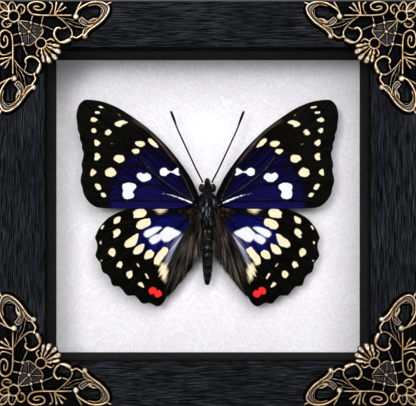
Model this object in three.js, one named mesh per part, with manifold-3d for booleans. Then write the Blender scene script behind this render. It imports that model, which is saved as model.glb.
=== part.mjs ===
// A framed butterfly specimen: a deep glazed frame of black wood with cast filigree corners, and a
// spread butterfly fixed over a sheet of textured white paper.
//
// Units are millimetres. +X is to the right, +Z is up and the glazed front faces -Y. The origin is
// on the surface that the frame stands on, in the middle of the frame's width and depth.

import * as THREE from 'three';
import { mergeVertices } from 'three/addons/utils/BufferGeometryUtils.js';
import Module from 'manifold-3d';

const wasm = await Module();
wasm.setup();

// ---- Driving dimensions ---------------------------------------------------------------------

const FRAME_WIDTH = 140;
const FRAME_HEIGHT = 136;
const FRAME_DEPTH = 30;
const RAIL_FACE = 15.5;          // visible width of a rail, outer edge to sight edge
const RAIL_WALL = 10;            // thickness of a rail behind its lip
const LIP_DEPTH = 4.5;           // front lip that holds the glass in
const RAIL_CHAMFER = 0.7;
const FIT_GAP = 0.3;             // clearance between pieces that are cut to meet
const SLIP_GAP = 0.1;            // clearance between flat pieces that lie on each other

const GLASS_THICKNESS = 2;
const PAPER_DEPTH = 22;          // from the frame's front face to the paper
const PAPER_THICKNESS = 0.4;
const FOAM_THICKNESS = 4;
const BACK_BOARD_THICKNESS = 2.2;

const ORNAMENT_THICKNESS = 1.6;
const SIDE_INSET = 0.4;          // ornament to the frame's edge, at the sides and the top
const BOTTOM_INSET = 1;          // the lower pair sits a little higher than the upper pair hangs low

const HANGER_THICKNESS = 0.8;
const HANGER_WIDTH = 44;
const HANGER_HEIGHT = 9;
const NAIL_HEAD_RADIUS = 1.6;
const NAIL_HEAD_THICKNESS = 0.5;
const TAB_THICKNESS = 0.6;

const WING_PLANE_DEPTH = 15.6;   // from the frame's front face to the middle of the forewings
const WING_THICKNESS = 0.4;
const WING_LIFT = 2.5;           // degrees by which the wing tips rise towards the glass
const HINDWING_DROP = 0.9;       // the hindwings lie this far behind the forewings
const BODY_AXIS_X = -0.2;

const FRONT_Y = -(FRAME_DEPTH - ORNAMENT_THICKNESS - SLIP_GAP + HANGER_THICKNESS
  + NAIL_HEAD_THICKNESS + 2 * SLIP_GAP) / 2;
const BACK_Y = FRONT_Y + FRAME_DEPTH;
const WALL_INNER_X = FRAME_WIDTH / 2 - RAIL_WALL;
const SIGHT_X = FRAME_WIDTH / 2 - RAIL_FACE;
const CENTRE_Z = FRAME_HEIGHT / 2;
const WALL_INNER_Z = FRAME_HEIGHT / 2 - RAIL_WALL;
const SIGHT_Z = FRAME_HEIGHT / 2 - RAIL_FACE;

// ---- Materials ------------------------------------------------------------------------------

function material(color, roughness, metalness = 0) {
  return new THREE.MeshStandardMaterial({ color, roughness, metalness });
}

const blackWood = () => material(0x23262a, 0.55);
const liningBlack = () => material(0x19191a, 0.8);
const clearGlass = () => material(0xf4f8f8, 0.05);
const whitePaper = () => material(0xe6e4e7, 0.95);
const foamWhite = () => material(0xf2f0ea, 0.9);
const brownBoard = () => material(0x6d5239, 0.9);
const antiqueBrass = () => material(0xc69a5a, 0.35, 1);
const zincSteel = () => material(0xb9bcbe, 0.4, 1);
const darkWing = () => material(0x16130f, 0.7);
const darkBody = () => material(0x2a2622, 0.9);
const hornBrown = () => material(0x3a261a, 0.5);

// ---- Helpers --------------------------------------------------------------------------------

const object = new THREE.Group();

function addMesh(name, geometry, meshMaterial, parent = object) {
  const mesh = new THREE.Mesh(geometry, meshMaterial);
  mesh.name = name;
  parent.add(mesh);
  return mesh;
}

function toManifold(geometry) {
  const bare = geometry.clone();
  bare.deleteAttribute('normal');
  bare.deleteAttribute('uv');
  const merged = mergeVertices(bare, 1e-4);
  return new wasm.Manifold(new wasm.Mesh({
    numProp: 3,
    vertProperties: merged.attributes.position.array,
    triVerts: merged.index.array,
  }));
}

function toGeometry(manifold) {
  const mesh = manifold.getMesh();
  const geometry = new THREE.BufferGeometry();
  geometry.setAttribute('position', new THREE.BufferAttribute(mesh.vertProperties, 3));
  geometry.setIndex(new THREE.BufferAttribute(mesh.triVerts, 1));
  geometry.computeVertexNormals();
  return geometry;
}

function join(geometries) {
  const solids = geometries.map(toManifold);
  return toGeometry(solids.reduce((whole, solid) => whole.add(solid)));
}

function polygon(points) {
  return new THREE.Shape(points.map(([x, y]) => new THREE.Vector2(x, y)));
}

function plate(points, thickness) {
  return new THREE.ExtrudeGeometry(polygon(points), { depth: thickness, bevelEnabled: false });
}

// A box given by its lowest corner and its size.
function box(x, y, z, width, depth, height) {
  const geometry = new THREE.BoxGeometry(width, depth, height);
  return geometry.translate(x + width / 2, y + depth / 2, z + height / 2);
}

// ---- Frame rails ----------------------------------------------------------------------------

// The section of a rail, as (distance in from the outer edge, distance back from the front face).
const RAIL_SECTION = [
  [0, RAIL_CHAMFER],
  [RAIL_CHAMFER, 0],
  [RAIL_FACE - RAIL_CHAMFER / 2, 0],
  [RAIL_FACE, RAIL_CHAMFER / 2],
  [RAIL_FACE, LIP_DEPTH],
  [RAIL_WALL, LIP_DEPTH],
  [RAIL_WALL, FRAME_DEPTH],
  [RAIL_CHAMFER, FRAME_DEPTH],
  [0, FRAME_DEPTH - RAIL_CHAMFER],
];

// One rail with its outer edge along local X and its inside towards local +Z. Its ends are cut at
// 45 degrees, each half a fit gap short of the diagonal.
function railGeometry(length) {
  const bar = new THREE.ExtrudeGeometry(polygon(RAIL_SECTION), { depth: length, bevelEnabled: false });
  bar.applyMatrix4(new THREE.Matrix4().makeBasis(
    new THREE.Vector3(0, 0, 1), new THREE.Vector3(0, 1, 0), new THREE.Vector3(-1, 0, 0)));
  bar.translate(length / 2, FRONT_Y, 0);
  const half = length / 2 - FIT_GAP / Math.SQRT2;
  const reach = RAIL_FACE + 1;
  const mitre = plate([[-half - 1, -1], [half + 1, -1], [half - reach, reach], [reach - half, reach]],
    FRAME_DEPTH + 4);
  mitre.rotateX(Math.PI / 2);
  mitre.translate(0, BACK_Y + 2, 0);
  return toGeometry(toManifold(bar).intersect(toManifold(mitre)));
}

function addRail(name, length, x, z, quarterTurns) {
  const rail = addMesh(name, railGeometry(length), blackWood());
  rail.position.set(x, 0, z);
  rail.rotation.y = quarterTurns * Math.PI / 2;
}

addRail('frame_rail_bottom', FRAME_WIDTH, 0, 0, 0);
addRail('frame_rail_top', FRAME_WIDTH, 0, FRAME_HEIGHT, 2);
addRail('frame_rail_left', FRAME_HEIGHT, -FRAME_WIDTH / 2, CENTRE_Z, 1);
addRail('frame_rail_right', FRAME_HEIGHT, FRAME_WIDTH / 2, CENTRE_Z, -1);

// ---- Glazing, lining and backing ------------------------------------------------------------

// A flat panel that fills the space between the rails' walls.
function addPanel(name, front, thickness, panelMaterial) {
  const halfWidth = WALL_INNER_X - FIT_GAP;
  const halfHeight = WALL_INNER_Z - FIT_GAP;
  addMesh(name, box(-halfWidth, front, CENTRE_Z - halfHeight, 2 * halfWidth, thickness,
    2 * halfHeight), panelMaterial);
  return front + thickness;
}

const glassBack = addPanel('glass_pane', FRONT_Y + LIP_DEPTH + SLIP_GAP, GLASS_THICKNESS,
  clearGlass());
const PAPER_Y = FRONT_Y + PAPER_DEPTH;
const paperBack = addPanel('mount_paper', PAPER_Y, PAPER_THICKNESS, whitePaper());
const foamBack = addPanel('foam_board', paperBack + SLIP_GAP, FOAM_THICKNESS, foamWhite());
const boardBack = addPanel('back_board', foamBack + SLIP_GAP, BACK_BOARD_THICKNESS, brownBoard());

// Four black lining strips hold the glass off the paper. Their inner faces are flush with the
// sight edge. The upper and lower strips run the full width, the side strips stand between them.
const liningFront = glassBack + SLIP_GAP;
const liningDepth = PAPER_Y - SLIP_GAP - liningFront;
const liningThickness = RAIL_FACE - RAIL_WALL - FIT_GAP;
const liningWidth = 2 * (WALL_INNER_X - FIT_GAP);
const sideLiningHeight = 2 * (SIGHT_Z - FIT_GAP);

for (const [name, z] of [['lining_top', CENTRE_Z + SIGHT_Z],
  ['lining_bottom', CENTRE_Z - SIGHT_Z - liningThickness]]) {
  addMesh(name, box(-liningWidth / 2, liningFront, z, liningWidth, liningDepth, liningThickness),
    liningBlack());
}
for (const [name, x] of [['lining_left', -SIGHT_X - liningThickness], ['lining_right', SIGHT_X]]) {
  addMesh(name, box(x, liningFront, CENTRE_Z - sideLiningHeight / 2, liningThickness, liningDepth,
    sideLiningHeight), liningBlack());
}

// ---- Back hardware --------------------------------------------------------------------------

// A sawtooth hanger: a flat strip with a row of teeth along its lower edge.
function hangerGeometry() {
  const teeth = 11;
  const pitch = 2;
  const toothDepth = 1.2;
  const lowEdge = -HANGER_HEIGHT / 2;
  const outline = [[-HANGER_WIDTH / 2, HANGER_HEIGHT / 2], [-HANGER_WIDTH / 2, lowEdge + 3]];
  const rowStart = -teeth * pitch / 2;
  outline.push([rowStart - 3, lowEdge]);
  for (let tooth = 0; tooth < teeth; tooth += 1) {
    outline.push([rowStart + tooth * pitch, lowEdge]);
    outline.push([rowStart + (tooth + 0.5) * pitch, lowEdge + toothDepth]);
  }
  outline.push([-rowStart, lowEdge], [3 - rowStart, lowEdge]);
  outline.push([HANGER_WIDTH / 2, lowEdge + 3], [HANGER_WIDTH / 2, HANGER_HEIGHT / 2]);
  return plate(outline, HANGER_THICKNESS);
}

const hangerZ = FRAME_HEIGHT - RAIL_WALL / 2;
const hanger = addMesh('sawtooth_hanger', hangerGeometry(), zincSteel());
hanger.rotation.x = Math.PI / 2;
hanger.position.set(0, BACK_Y + SLIP_GAP + HANGER_THICKNESS, hangerZ);

for (const [name, side] of [['hanger_nail_left', -1], ['hanger_nail_right', 1]]) {
  const head = new THREE.CylinderGeometry(NAIL_HEAD_RADIUS * 0.8, NAIL_HEAD_RADIUS,
    NAIL_HEAD_THICKNESS, 12);
  const nail = addMesh(name, head, zincSteel());
  nail.position.set(side * (HANGER_WIDTH / 2 - 3),
    BACK_Y + HANGER_THICKNESS + 2 * SLIP_GAP + NAIL_HEAD_THICKNESS / 2, hangerZ + 1.5);
}

// Flat steel tabs, driven into the rails' inner walls, hold the back board in.
const tabFront = boardBack + SLIP_GAP;
const tabWidth = 6;
const tabReach = 6;
for (const [name, side] of [['back_tab_left', -1], ['back_tab_right', 1]]) {
  const inner = side * (WALL_INNER_X - FIT_GAP - tabReach / 2);
  addMesh(name, box(inner - tabReach / 2, tabFront, CENTRE_Z - tabWidth / 2, tabReach,
    TAB_THICKNESS, tabWidth), zincSteel());
}
for (const [name, side] of [['back_tab_bottom', -1], ['back_tab_top', 1]]) {
  const inner = CENTRE_Z + side * (WALL_INNER_Z - FIT_GAP - tabReach / 2);
  addMesh(name, box(-tabWidth / 2, tabFront, inner - tabReach / 2, tabWidth, TAB_THICKNESS,
    tabReach), zincSteel());
}

// ---- Filigree corner ornaments --------------------------------------------------------------

// Each ornament is drawn in a square whose corner is the frame's corner. A point is (distance
// along one edge, distance along the other), and all the strands but the diagonal ones come in
// mirrored pairs. A strand is [width, height as a share of the thickness, points].
const PAIRED_STRANDS = [
  // Leaf at the very corner.
  [0.8, 0.8, [[3.6, 3.4], [3.0, 1.8], [2.0, 0.8], [0.5, 0.5]]],
  [0.7, 0.8, [[3.8, 3.4], [3.6, 1.6], [4.5, 0.5], [5.6, 1.7], [5.6, 3.2]]],
  [0.7, 0.8, [[6.1, 3.0], [6.5, 1.8], [7.6, 1.2], [8.6, 2.4], [8.0, 4.2]]],
  // Spiral and the long bar that runs out of it.
  [0.8, 0.9, [[12.4, 2.6], [14.2, 3.1], [15.4, 2.2], [14.4, 0.7], [12.0, 0.5], [10.0, 1.6],
    [10.2, 3.6], [12.4, 4.7], [18.0, 4.9], [25.2, 5.1]]],
  // Fan of three rays above the bar.
  [0.9, 0.7, [[16.9, 4.7], [17.2, 0.5]]],
  [1.2, 0.8, [[18.6, 4.7], [19.2, 0.5]]],
  [0.9, 0.8, [[19.4, 4.7], [21.4, 1.0]]],
  // Lattice across the square.
  [0.6, 0.6, [[7.0, 6.4], [10.7, 7.2], [14.2, 8.2], [18.2, 9.6]]],
  [0.6, 0.6, [[11.3, 4.6], [10.7, 7.2], [10.4, 10.2]]],
  [0.6, 0.6, [[14.9, 4.8], [14.2, 8.3], [14.5, 10.4], [13.4, 12.4]]],
  // Petals at the inner corner.
  [0.7, 0.7, [[15.4, 13.9], [17.0, 12.8], [18.4, 13.5]]],
  [1.4, 0.7, [[16.4, 15.6], [20.3, 16.9]]],
  // Small scroll, its link and the thin stem behind it.
  [0.9, 0.8, [[20.6, 9.3], [18.6, 9.8], [18.8, 12.6], [22.0, 13.6], [24.3, 12.2]]],
  [0.6, 0.6, [[20.2, 5.0], [22.4, 7.3], [24.1, 9.8], [24.4, 12.2], [26.3, 12.3], [28.6, 11.9]]],
  // Crescent: outer and inner rim.
  [0.8, 0.9, [[28.7, 11.8], [29.7, 9.9], [32.7, 8.1], [35.2, 5.5], [36.5, 2.6], [35.6, 0.7],
    [32.6, 0.4], [29.1, 1.5], [25.8, 4.6]]],
  [0.7, 0.8, [[30.2, 1.2], [33.3, 1.7], [34.4, 3.8], [33.0, 6.4], [30.4, 7.3], [27.6, 6.7],
    [25.5, 5.4]]],
];
const DIAGONAL_STRANDS = [
  [0.7, 0.6, [[6.6, 6.6], [12.8, 12.8]]],
  [1.2, 0.7, [[15.6, 15.6], [19.4, 19.4]]],
];
const RINGS = [[5.1, 1.9], [14.1, 1.8]];       // distance along the diagonal, radius
const RING_WIDTH = 0.8;
const PAIRED_BEADS = [[14.2, 8.3, 0.9], [25.5, 5.2, 1.1], [28.6, 11.9, 0.8]];   // x, y, radius
const MAX_SAG = 0.22;            // a straight step of a strand strays no further from its curve

// The corners of a polyline that stays within MAX_SAG of the given fine points.
function sparsePoints(fine) {
  const first = fine[0];
  const last = fine[fine.length - 1];
  const chord = new THREE.Line3(first, last);
  const strays = fine.map((point) => chord.closestPointToPoint(point, true, new THREE.Vector3())
    .distanceTo(point));
  const worst = strays.indexOf(Math.max(...strays));
  if (strays[worst] <= MAX_SAG) return [first, last];
  return [...sparsePoints(fine.slice(0, worst + 1)), ...sparsePoints(fine.slice(worst)).slice(1)];
}

// A strand swept along straight steps between the sparse points, with a ridge along its top.
function strandGeometry(width, share, points) {
  const smooth = new THREE.CatmullRomCurve3(points.map(([x, y]) => new THREE.Vector3(x, y, 0)));
  const corners = sparsePoints(smooth.getPoints(60));
  const height = share * ORNAMENT_THICKNESS;
  const section = polygon([[0, -width / 2], [0, width / 2], [-height, 0]]);
  return new THREE.ExtrudeGeometry(section, {
    steps: corners.length - 1,
    extrudePath: new SteppedPath(corners),
  });
}

// A path whose equal steps land on given points, with the tangent halving each corner.
class SteppedPath extends THREE.Curve {
  constructor(corners) {
    super();
    this.corners = corners;
  }

  getPoint(t, target = new THREE.Vector3()) {
    const last = this.corners.length - 1;
    const i = Math.min(Math.floor(t * last + 1e-6), last - 1);
    return target.lerpVectors(this.corners[i], this.corners[i + 1], t * last - i);
  }

  getPointAt(t, target) {
    return this.getPoint(t, target);
  }

  getTangentAt(t, target = new THREE.Vector3()) {
    const last = this.corners.length - 1;
    const i = Math.round(t * last);
    const before = this.corners[Math.max(i - 1, 0)];
    const after = this.corners[Math.min(i + 1, last)];
    return target.subVectors(after, before).normalize();
  }
}

function ringGeometry(distance, radius) {
  const inner = radius - RING_WIDTH / 2;
  const outer = radius + RING_WIDTH / 2;
  const height = 0.9 * ORNAMENT_THICKNESS;
  const profile = [[inner, 0], [outer, 0], [radius, height], [inner, 0]];
  const ring = new THREE.LatheGeometry(profile.map(([x, y]) => new THREE.Vector2(x, y)), 8);
  return ring.rotateX(Math.PI / 2).translate(distance, distance, 0);
}

function beadGeometry(x, y, radius) {
  const bead = new THREE.CylinderGeometry(radius * 0.6, radius, ORNAMENT_THICKNESS, 6);
  return bead.rotateX(Math.PI / 2).translate(x, y, ORNAMENT_THICKNESS / 2);
}

const swap = (points) => points.map(([x, y]) => [y, x]);

function ornamentGeometry() {
  const pieces = [
    ...PAIRED_STRANDS.map(([width, share, points]) => strandGeometry(width, share, points)),
    ...PAIRED_STRANDS.map(([width, share, points]) => strandGeometry(width, share, swap(points))),
    ...DIAGONAL_STRANDS.map(([width, share, points]) => strandGeometry(width, share, points)),
    ...RINGS.map(([distance, radius]) => ringGeometry(distance, radius)),
    ...PAIRED_BEADS.map(([x, y, radius]) => beadGeometry(x, y, radius)),
    ...PAIRED_BEADS.map(([x, y, radius]) => beadGeometry(y, x, radius)),
  ];
  return join(pieces);
}

const ornament = ornamentGeometry();
const cornerX = FRAME_WIDTH / 2 - SIDE_INSET;
const cornerTop = FRAME_HEIGHT - SIDE_INSET;

// The ornament is its own mirror image about the diagonal, so quarter turns make all four corners.
for (const [name, x, z, quarterTurns] of [
  ['corner_ornament_bottom_left', -cornerX, BOTTOM_INSET, 0],
  ['corner_ornament_bottom_right', cornerX, BOTTOM_INSET, 1],
  ['corner_ornament_top_right', cornerX, cornerTop, 2],
  ['corner_ornament_top_left', -cornerX, cornerTop, 3],
]) {
  const corner = addMesh(name, ornament.clone(), antiqueBrass());
  corner.position.set(x, FRONT_Y - SLIP_GAP, z);
  corner.rotation.set(Math.PI / 2, 0, quarterTurns * Math.PI / 2);
}

// ---- Butterfly ------------------------------------------------------------------------------

// The butterfly group's origin is on the body axis in the wing plane. Local X is out to one side,
// local Y is up the frame and local +Z is towards the glass.
const butterfly = new THREE.Group();
butterfly.rotation.x = Math.PI / 2;
butterfly.position.set(BODY_AXIS_X, FRONT_Y + WING_PLANE_DEPTH, 0);
object.add(butterfly);

// Wing outlines of one side: (distance out from the body axis, height above the surface).
const FOREWING = [
  [3.6, 71.6], [4.3, 74.3], [8.0, 81.1], [14.2, 88.9], [20.7, 95.1], [30.2, 101.7],
  [37.4, 104.6], [41.9, 105.1], [44.6, 103.7], [45.9, 98.1], [45.0, 91.9], [43.8, 86.3],
  [44.3, 78.0], [42.9, 72.0], [39.6, 67.8], [37.4, 67.1], [14.2, 66.9], [9.3, 67.4], [4.9, 69.2],
];
const HINDWING = [
  [4.4, 64.6], [8.0, 69.6], [17.0, 71.4], [26.0, 68.6], [34.1, 64.2], [38.2, 59.8], [39.5, 56.6],
  [38.8, 54.0], [39.2, 50.6], [37.6, 47.8], [36.9, 44.8], [34.6, 42.9], [33.2, 39.9],
  [30.6, 39.2], [28.3, 36.4], [25.2, 36.1], [22.3, 33.5], [19.9, 33.6], [17.7, 32.5],
  [15.6, 33.8], [12.6, 37.3], [5.7, 46.1], [2.5, 52.2], [2.4, 58.0],
];
// Each vein runs from the wing root out: [foot, tip].
const FOREWING_VEINS = [
  [[5.2, 71.2], [40.6, 102.6]], [[5.6, 70.8], [42.6, 93.6]], [[6.0, 70.3], [42.0, 83.4]],
  [[6.4, 69.8], [41.4, 75.0]], [[6.8, 69.2], [37.6, 69.4]],
];
const HINDWING_VEINS = [
  [[6.4, 65.4], [36.2, 57.2]], [[6.2, 64.6], [35.4, 49.6]], [[5.8, 63.8], [30.8, 42.0]],
  [[5.2, 62.8], [23.2, 36.4]], [[4.6, 61.8], [15.6, 36.8]],
];
const VEIN_WIDTH = 0.5;
const VEIN_HEIGHT = 0.25;

const mirrored = (points, side) => points.map(([x, y]) => [side * x, y]);

function veinGeometry([foot, tip], side) {
  const [[x0, y0], [x1, y1]] = mirrored([foot, tip], side);
  const length = Math.hypot(x1 - x0, y1 - y0);
  const section = polygon([[-VEIN_WIDTH / 2, -0.05], [VEIN_WIDTH / 2, -0.05], [0, VEIN_HEIGHT]]);
  const vein = new THREE.ExtrudeGeometry(section, { depth: length, bevelEnabled: false });
  vein.rotateX(Math.PI / 2);
  vein.rotateZ(Math.atan2(y1 - y0, x1 - x0) + Math.PI / 2);
  return vein.translate(x0, y0, WING_THICKNESS / 2);
}

function wingGeometry(outline, veins, side) {
  const blade = plate(mirrored(outline, side), WING_THICKNESS);
  blade.translate(0, 0, -WING_THICKNESS / 2);
  return join([blade, ...veins.map((vein) => veinGeometry(vein, side))]);
}

for (const [word, side] of [['left', -1], ['right', 1]]) {
  const lift = new THREE.Group();
  lift.rotation.y = -side * THREE.MathUtils.degToRad(WING_LIFT);
  butterfly.add(lift);
  addMesh(`forewing_${word}`, wingGeometry(FOREWING, FOREWING_VEINS, side), darkWing(), lift);
  const hindwing = addMesh(`hindwing_${word}`, wingGeometry(HINDWING, HINDWING_VEINS, side),
    darkWing(), lift);
  hindwing.position.z = -HINDWING_DROP;
}

// A rounded body part: a scaled sphere with its pole along the body.
function bodyPart(centreY, halfWidth, halfLength, halfDepth, around = 10, along = 6) {
  const part = new THREE.SphereGeometry(1, around, along);
  return part.scale(halfWidth, halfLength, halfDepth).translate(0, centreY, 0);
}

const THORAX_TOP = 72.2;
const THORAX_BOTTOM = 62.2;
const THORAX_HALF_DEPTH = 3.4;
addMesh('thorax', bodyPart((THORAX_TOP + THORAX_BOTTOM) / 2, 3.1,
  (THORAX_TOP - THORAX_BOTTOM) / 2, THORAX_HALF_DEPTH), darkBody(), butterfly);

// The abdomen tapers from its waist, swells a little and ends in a rounded tip.
const ABDOMEN = [[0, 40.0], [0.8, 40.8], [1.5, 43.6], [1.7, 48.0], [1.6, 54.0], [1.3, 59.6],
  [0, 61.9]];
const abdomen = new THREE.LatheGeometry(ABDOMEN.map(([r, y]) => new THREE.Vector2(r, y)), 10);
addMesh('abdomen', abdomen, darkBody(), butterfly);

// The head carries two round eyes at its sides and two short palps in front.
const EYE_OUT = 1.9;
const EYE_RADIUS = 1.15;
const head = join([
  bodyPart(73.9, 2.0, 1.3, 1.5, 8, 4),
  ...[-1, 1].map((side) => bodyPart(74.3, EYE_RADIUS, EYE_RADIUS, EYE_RADIUS, 8, 5)
    .translate(side * EYE_OUT, 0, 0.3)),
  ...[-1, 1].map((side) => {
    const palp = new THREE.CylinderGeometry(0.12, 0.4, 3, 5);
    return palp.rotateZ(side * 0.1).translate(side * 0.5, 76.1, 0.2);
  }),
]);
addMesh('head', head, darkBody(), butterfly);

// Each antenna is a thin straight shaft that thickens into a club.
const ANTENNA_FOOT = [1.7, 76.4];
const ANTENNA_TIP = [12.9, 101.2];
const ANTENNA_RISE = 1.2;        // the tip lies this much nearer the glass than the foot
const ANTENNA = [[0, 0], [0.2, 0.05], [0.16, 21.5], [0.36, 24.2], [0.32, 26.6], [0, 27.2]];

for (const [word, side] of [['left', -1], ['right', 1]]) {
  const shaft = new THREE.LatheGeometry(ANTENNA.map(([r, y]) => new THREE.Vector2(r, y)), 6);
  const antenna = addMesh(`antenna_${word}`, shaft, hornBrown(), butterfly);
  antenna.position.set(side * ANTENNA_FOOT[0], ANTENNA_FOOT[1], 0.8);
  const along = new THREE.Vector3(side * (ANTENNA_TIP[0] - ANTENNA_FOOT[0]),
    ANTENNA_TIP[1] - ANTENNA_FOOT[1], ANTENNA_RISE).normalize();
  antenna.quaternion.setFromUnitVectors(new THREE.Vector3(0, 1, 0), along);
}

// A foam plug under the thorax carries the butterfly clear of the paper.
const thoraxBackY = FRONT_Y + WING_PLANE_DEPTH + THORAX_HALF_DEPTH + FIT_GAP;
const PLUG_WIDTH = 4;
const PLUG_HEIGHT = 6;
addMesh('mounting_block', box(BODY_AXIS_X - PLUG_WIDTH / 2, thoraxBackY,
  (THORAX_TOP + THORAX_BOTTOM) / 2 - PLUG_HEIGHT / 2, PLUG_WIDTH,
  PAPER_Y - SLIP_GAP - thoraxBackY, PLUG_HEIGHT), foamWhite());

export default object;
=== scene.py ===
# %% [markdown]
# # A framed butterfly specimen
#
# A male purple emperor butterfly is spread over a sheet of textured white paper, behind glass, in
# a deep frame of black wood with cast filigree corners. The solid model gives the sizes and holds
# the boards, the glass and the hardware. This script adds what the eye looks for: softened wood
# edges, the cast relief of the corners, and the veins, scales and hairs of the insect.

# %% Load the solid model
import math

import bmesh
import bpy
import numpy as np
from mathutils import Matrix, Vector, noise


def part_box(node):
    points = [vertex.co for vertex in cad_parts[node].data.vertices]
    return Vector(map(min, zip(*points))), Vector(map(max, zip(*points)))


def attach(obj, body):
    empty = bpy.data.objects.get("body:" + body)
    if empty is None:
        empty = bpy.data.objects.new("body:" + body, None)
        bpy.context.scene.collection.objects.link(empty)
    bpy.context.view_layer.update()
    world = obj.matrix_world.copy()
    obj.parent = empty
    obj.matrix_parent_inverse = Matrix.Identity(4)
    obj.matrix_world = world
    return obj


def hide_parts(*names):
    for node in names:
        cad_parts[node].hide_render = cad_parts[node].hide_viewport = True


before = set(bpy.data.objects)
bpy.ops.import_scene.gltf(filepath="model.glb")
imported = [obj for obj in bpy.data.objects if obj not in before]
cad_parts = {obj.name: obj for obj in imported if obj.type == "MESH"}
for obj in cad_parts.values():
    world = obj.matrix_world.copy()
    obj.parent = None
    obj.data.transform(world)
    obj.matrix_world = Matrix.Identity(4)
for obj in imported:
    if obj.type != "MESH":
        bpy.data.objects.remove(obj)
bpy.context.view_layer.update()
print("nodes:", len(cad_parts))

# %% [markdown]
# All the drawing below is in millimetres, because that is how such a small thing is measured. The
# meshes are scaled to metres as the last step. The places that matter come from the solid model:
# the front face of the wood, the paper, and the plane in which the wings are spread.

# %% Places read from the model
MM = 0.001


def box_mm(name):
    """The lowest and highest corner of a solid, in millimetres."""
    return [np.array(corner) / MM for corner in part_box(name)]


rail_low, rail_high = box_mm("frame_rail_top")
FRONT_Y = rail_low[1]
BACK_Y = rail_high[1]
FRAME_TOP = rail_high[2]
FRAME_HALF_WIDTH = box_mm("frame_rail_right")[1][0]
CENTRE_Z = FRAME_TOP / 2
RAIL_FACE = rail_high[2] - rail_low[2]
PAPER_Y = box_mm("mount_paper")[0][1]
abdomen_low, abdomen_high = box_mm("abdomen")
BODY_X = (abdomen_low[0] + abdomen_high[0]) / 2
WING_Y = (abdomen_low[1] + abdomen_high[1]) / 2
print("front face %.2f, wings %.2f, paper %.2f" % (FRONT_Y, WING_Y, PAPER_Y))

# %% [markdown]
# ## Camera
#
# A framed picture is photographed square on, so that its edges stay parallel. The lens sits a
# little below the middle and the film is shifted up to keep the whole frame in view. From so close,
# the deep lining shows on all four sides.

# %% Camera
IMAGE_WIDTH = 416
IMAGE_HEIGHT = 406
AXIS_PIXEL = (211.8, 232.0)       # where lines square to the frame vanish
CAMERA_DISTANCE = 284             # lens to the wood's front face
CAMERA_OFFSET = (1.35, -9.27)     # lens to the frame's middle, across and up
PIXELS_PER_TAN = 850.6            # picture width in pixels over the tangent it spans

camera = bpy.data.objects.new("camera", bpy.data.cameras.new("camera"))
camera.data.sensor_width = 36
camera.data.lens = PIXELS_PER_TAN / IMAGE_WIDTH * camera.data.sensor_width
camera.data.shift_x = (IMAGE_WIDTH / 2 - AXIS_PIXEL[0]) / IMAGE_WIDTH
camera.data.shift_y = (AXIS_PIXEL[1] - IMAGE_HEIGHT / 2) / IMAGE_WIDTH
camera.data.clip_start = 0.01
camera.location = Vector((CAMERA_OFFSET[0], FRONT_Y - CAMERA_DISTANCE,
                          CENTRE_Z + CAMERA_OFFSET[1])) * MM
camera.rotation_euler = (math.radians(90), 0, 0)
bpy.context.collection.objects.link(camera)
bpy.context.scene.camera = camera
print("lens %.1f mm" % camera.data.lens)

# %% [markdown]
# ## Light
#
# Two soft lights fall into the deep frame: a very wide softbox high on the right, and a smaller
# and stronger one on the left. Being wide, they leave the paper darker towards the lining on every
# side, darkest along the top, and the wings throw a soft shade below them. Both are left out of
# reflections, because the glass would mirror them into the lens. What the brass, the steel and the
# eyes mirror is a white card in front and a window high on the left, which light nothing else.

# %% Lights and surroundings
def area_light(name, place, target, size, watts, mirrored):
    """A square soft light, placed and aimed in millimetres. It is either mirrored or it lights."""
    lamp = bpy.data.objects.new(name, bpy.data.lights.new(name, "AREA"))
    lamp.data.size = size * MM
    lamp.data.energy = watts
    lamp.location = Vector(place) * MM
    aim = (Vector(target) - Vector(place)).to_track_quat("-Z", "Y")
    lamp.rotation_euler = aim.to_euler()
    lamp.visible_glossy = mirrored
    lamp.visible_diffuse = not mirrored
    bpy.context.collection.objects.link(lamp)


middle = (0, FRONT_Y, CENTRE_Z)
area_light("wide softbox", (330, -1400, 820), middle, 1200, 19.8, mirrored=False)
area_light("left softbox", (-466, -1400, 333), middle, 435, 10.3, mirrored=False)
area_light("white card", (-60, -810, 170), middle, 760, 4.4, mirrored=True)
area_light("window", (-800, -1100, 1000), middle, 520, 2.6, mirrored=True)

scene = bpy.context.scene
scene.view_settings.view_transform = "Standard"
scene.view_settings.look = "None"
world = bpy.data.worlds.new("studio")
world.use_nodes = True
world.node_tree.nodes["Background"].inputs["Color"].default_value = (0.95, 0.97, 1.0, 1)
world.node_tree.nodes["Background"].inputs["Strength"].default_value = 0.12
scene.world = world

# %% [markdown]
# ## Materials
#
# Each material is a small graph of nodes. One function turns a colour as it is read off a screen
# into the linear numbers that the renderer counts in, and one function adds a node.

# %% Material helpers
def linear(hex_colour):
    """An sRGB hex colour as linear red, green, blue and alpha."""
    shares = [int(hex_colour[i:i + 2], 16) / 255 for i in (0, 2, 4)]
    straight = [s / 12.92 if s <= 0.04045 else ((s + 0.055) / 1.055) ** 2.4 for s in shares]
    return (*straight, 1.0)


def add(tree, kind, inputs=None, **settings):
    """Adds a node. Settings are its properties, inputs its sockets: a value or another output."""
    made = tree.nodes.new("ShaderNode" + kind)
    for name, value in settings.items():
        setattr(made, name, value)
    for socket, value in (inputs or {}).items():
        if isinstance(value, bpy.types.NodeSocket):
            tree.links.new(value, made.inputs[socket])
        else:
            made.inputs[socket].default_value = value
    return made


def start_material(name, **shader_values):
    """A new material with its shader's own values set. Returns it, its tree and its shader."""
    material = bpy.data.materials.new(name)
    material.use_nodes = True
    tree = material.node_tree
    shader = tree.nodes["Principled BSDF"]
    for socket, value in shader_values.items():
        shader.inputs[socket.replace("_", " ")].default_value = value
    return material, tree, shader


def blend_colours(tree, factor, first, second):
    """A colour that goes from first to second as factor goes from 0 to 1."""
    return add(tree, "Mix", {0: factor, 6: first, 7: second}, data_type="RGBA").outputs[2]


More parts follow.
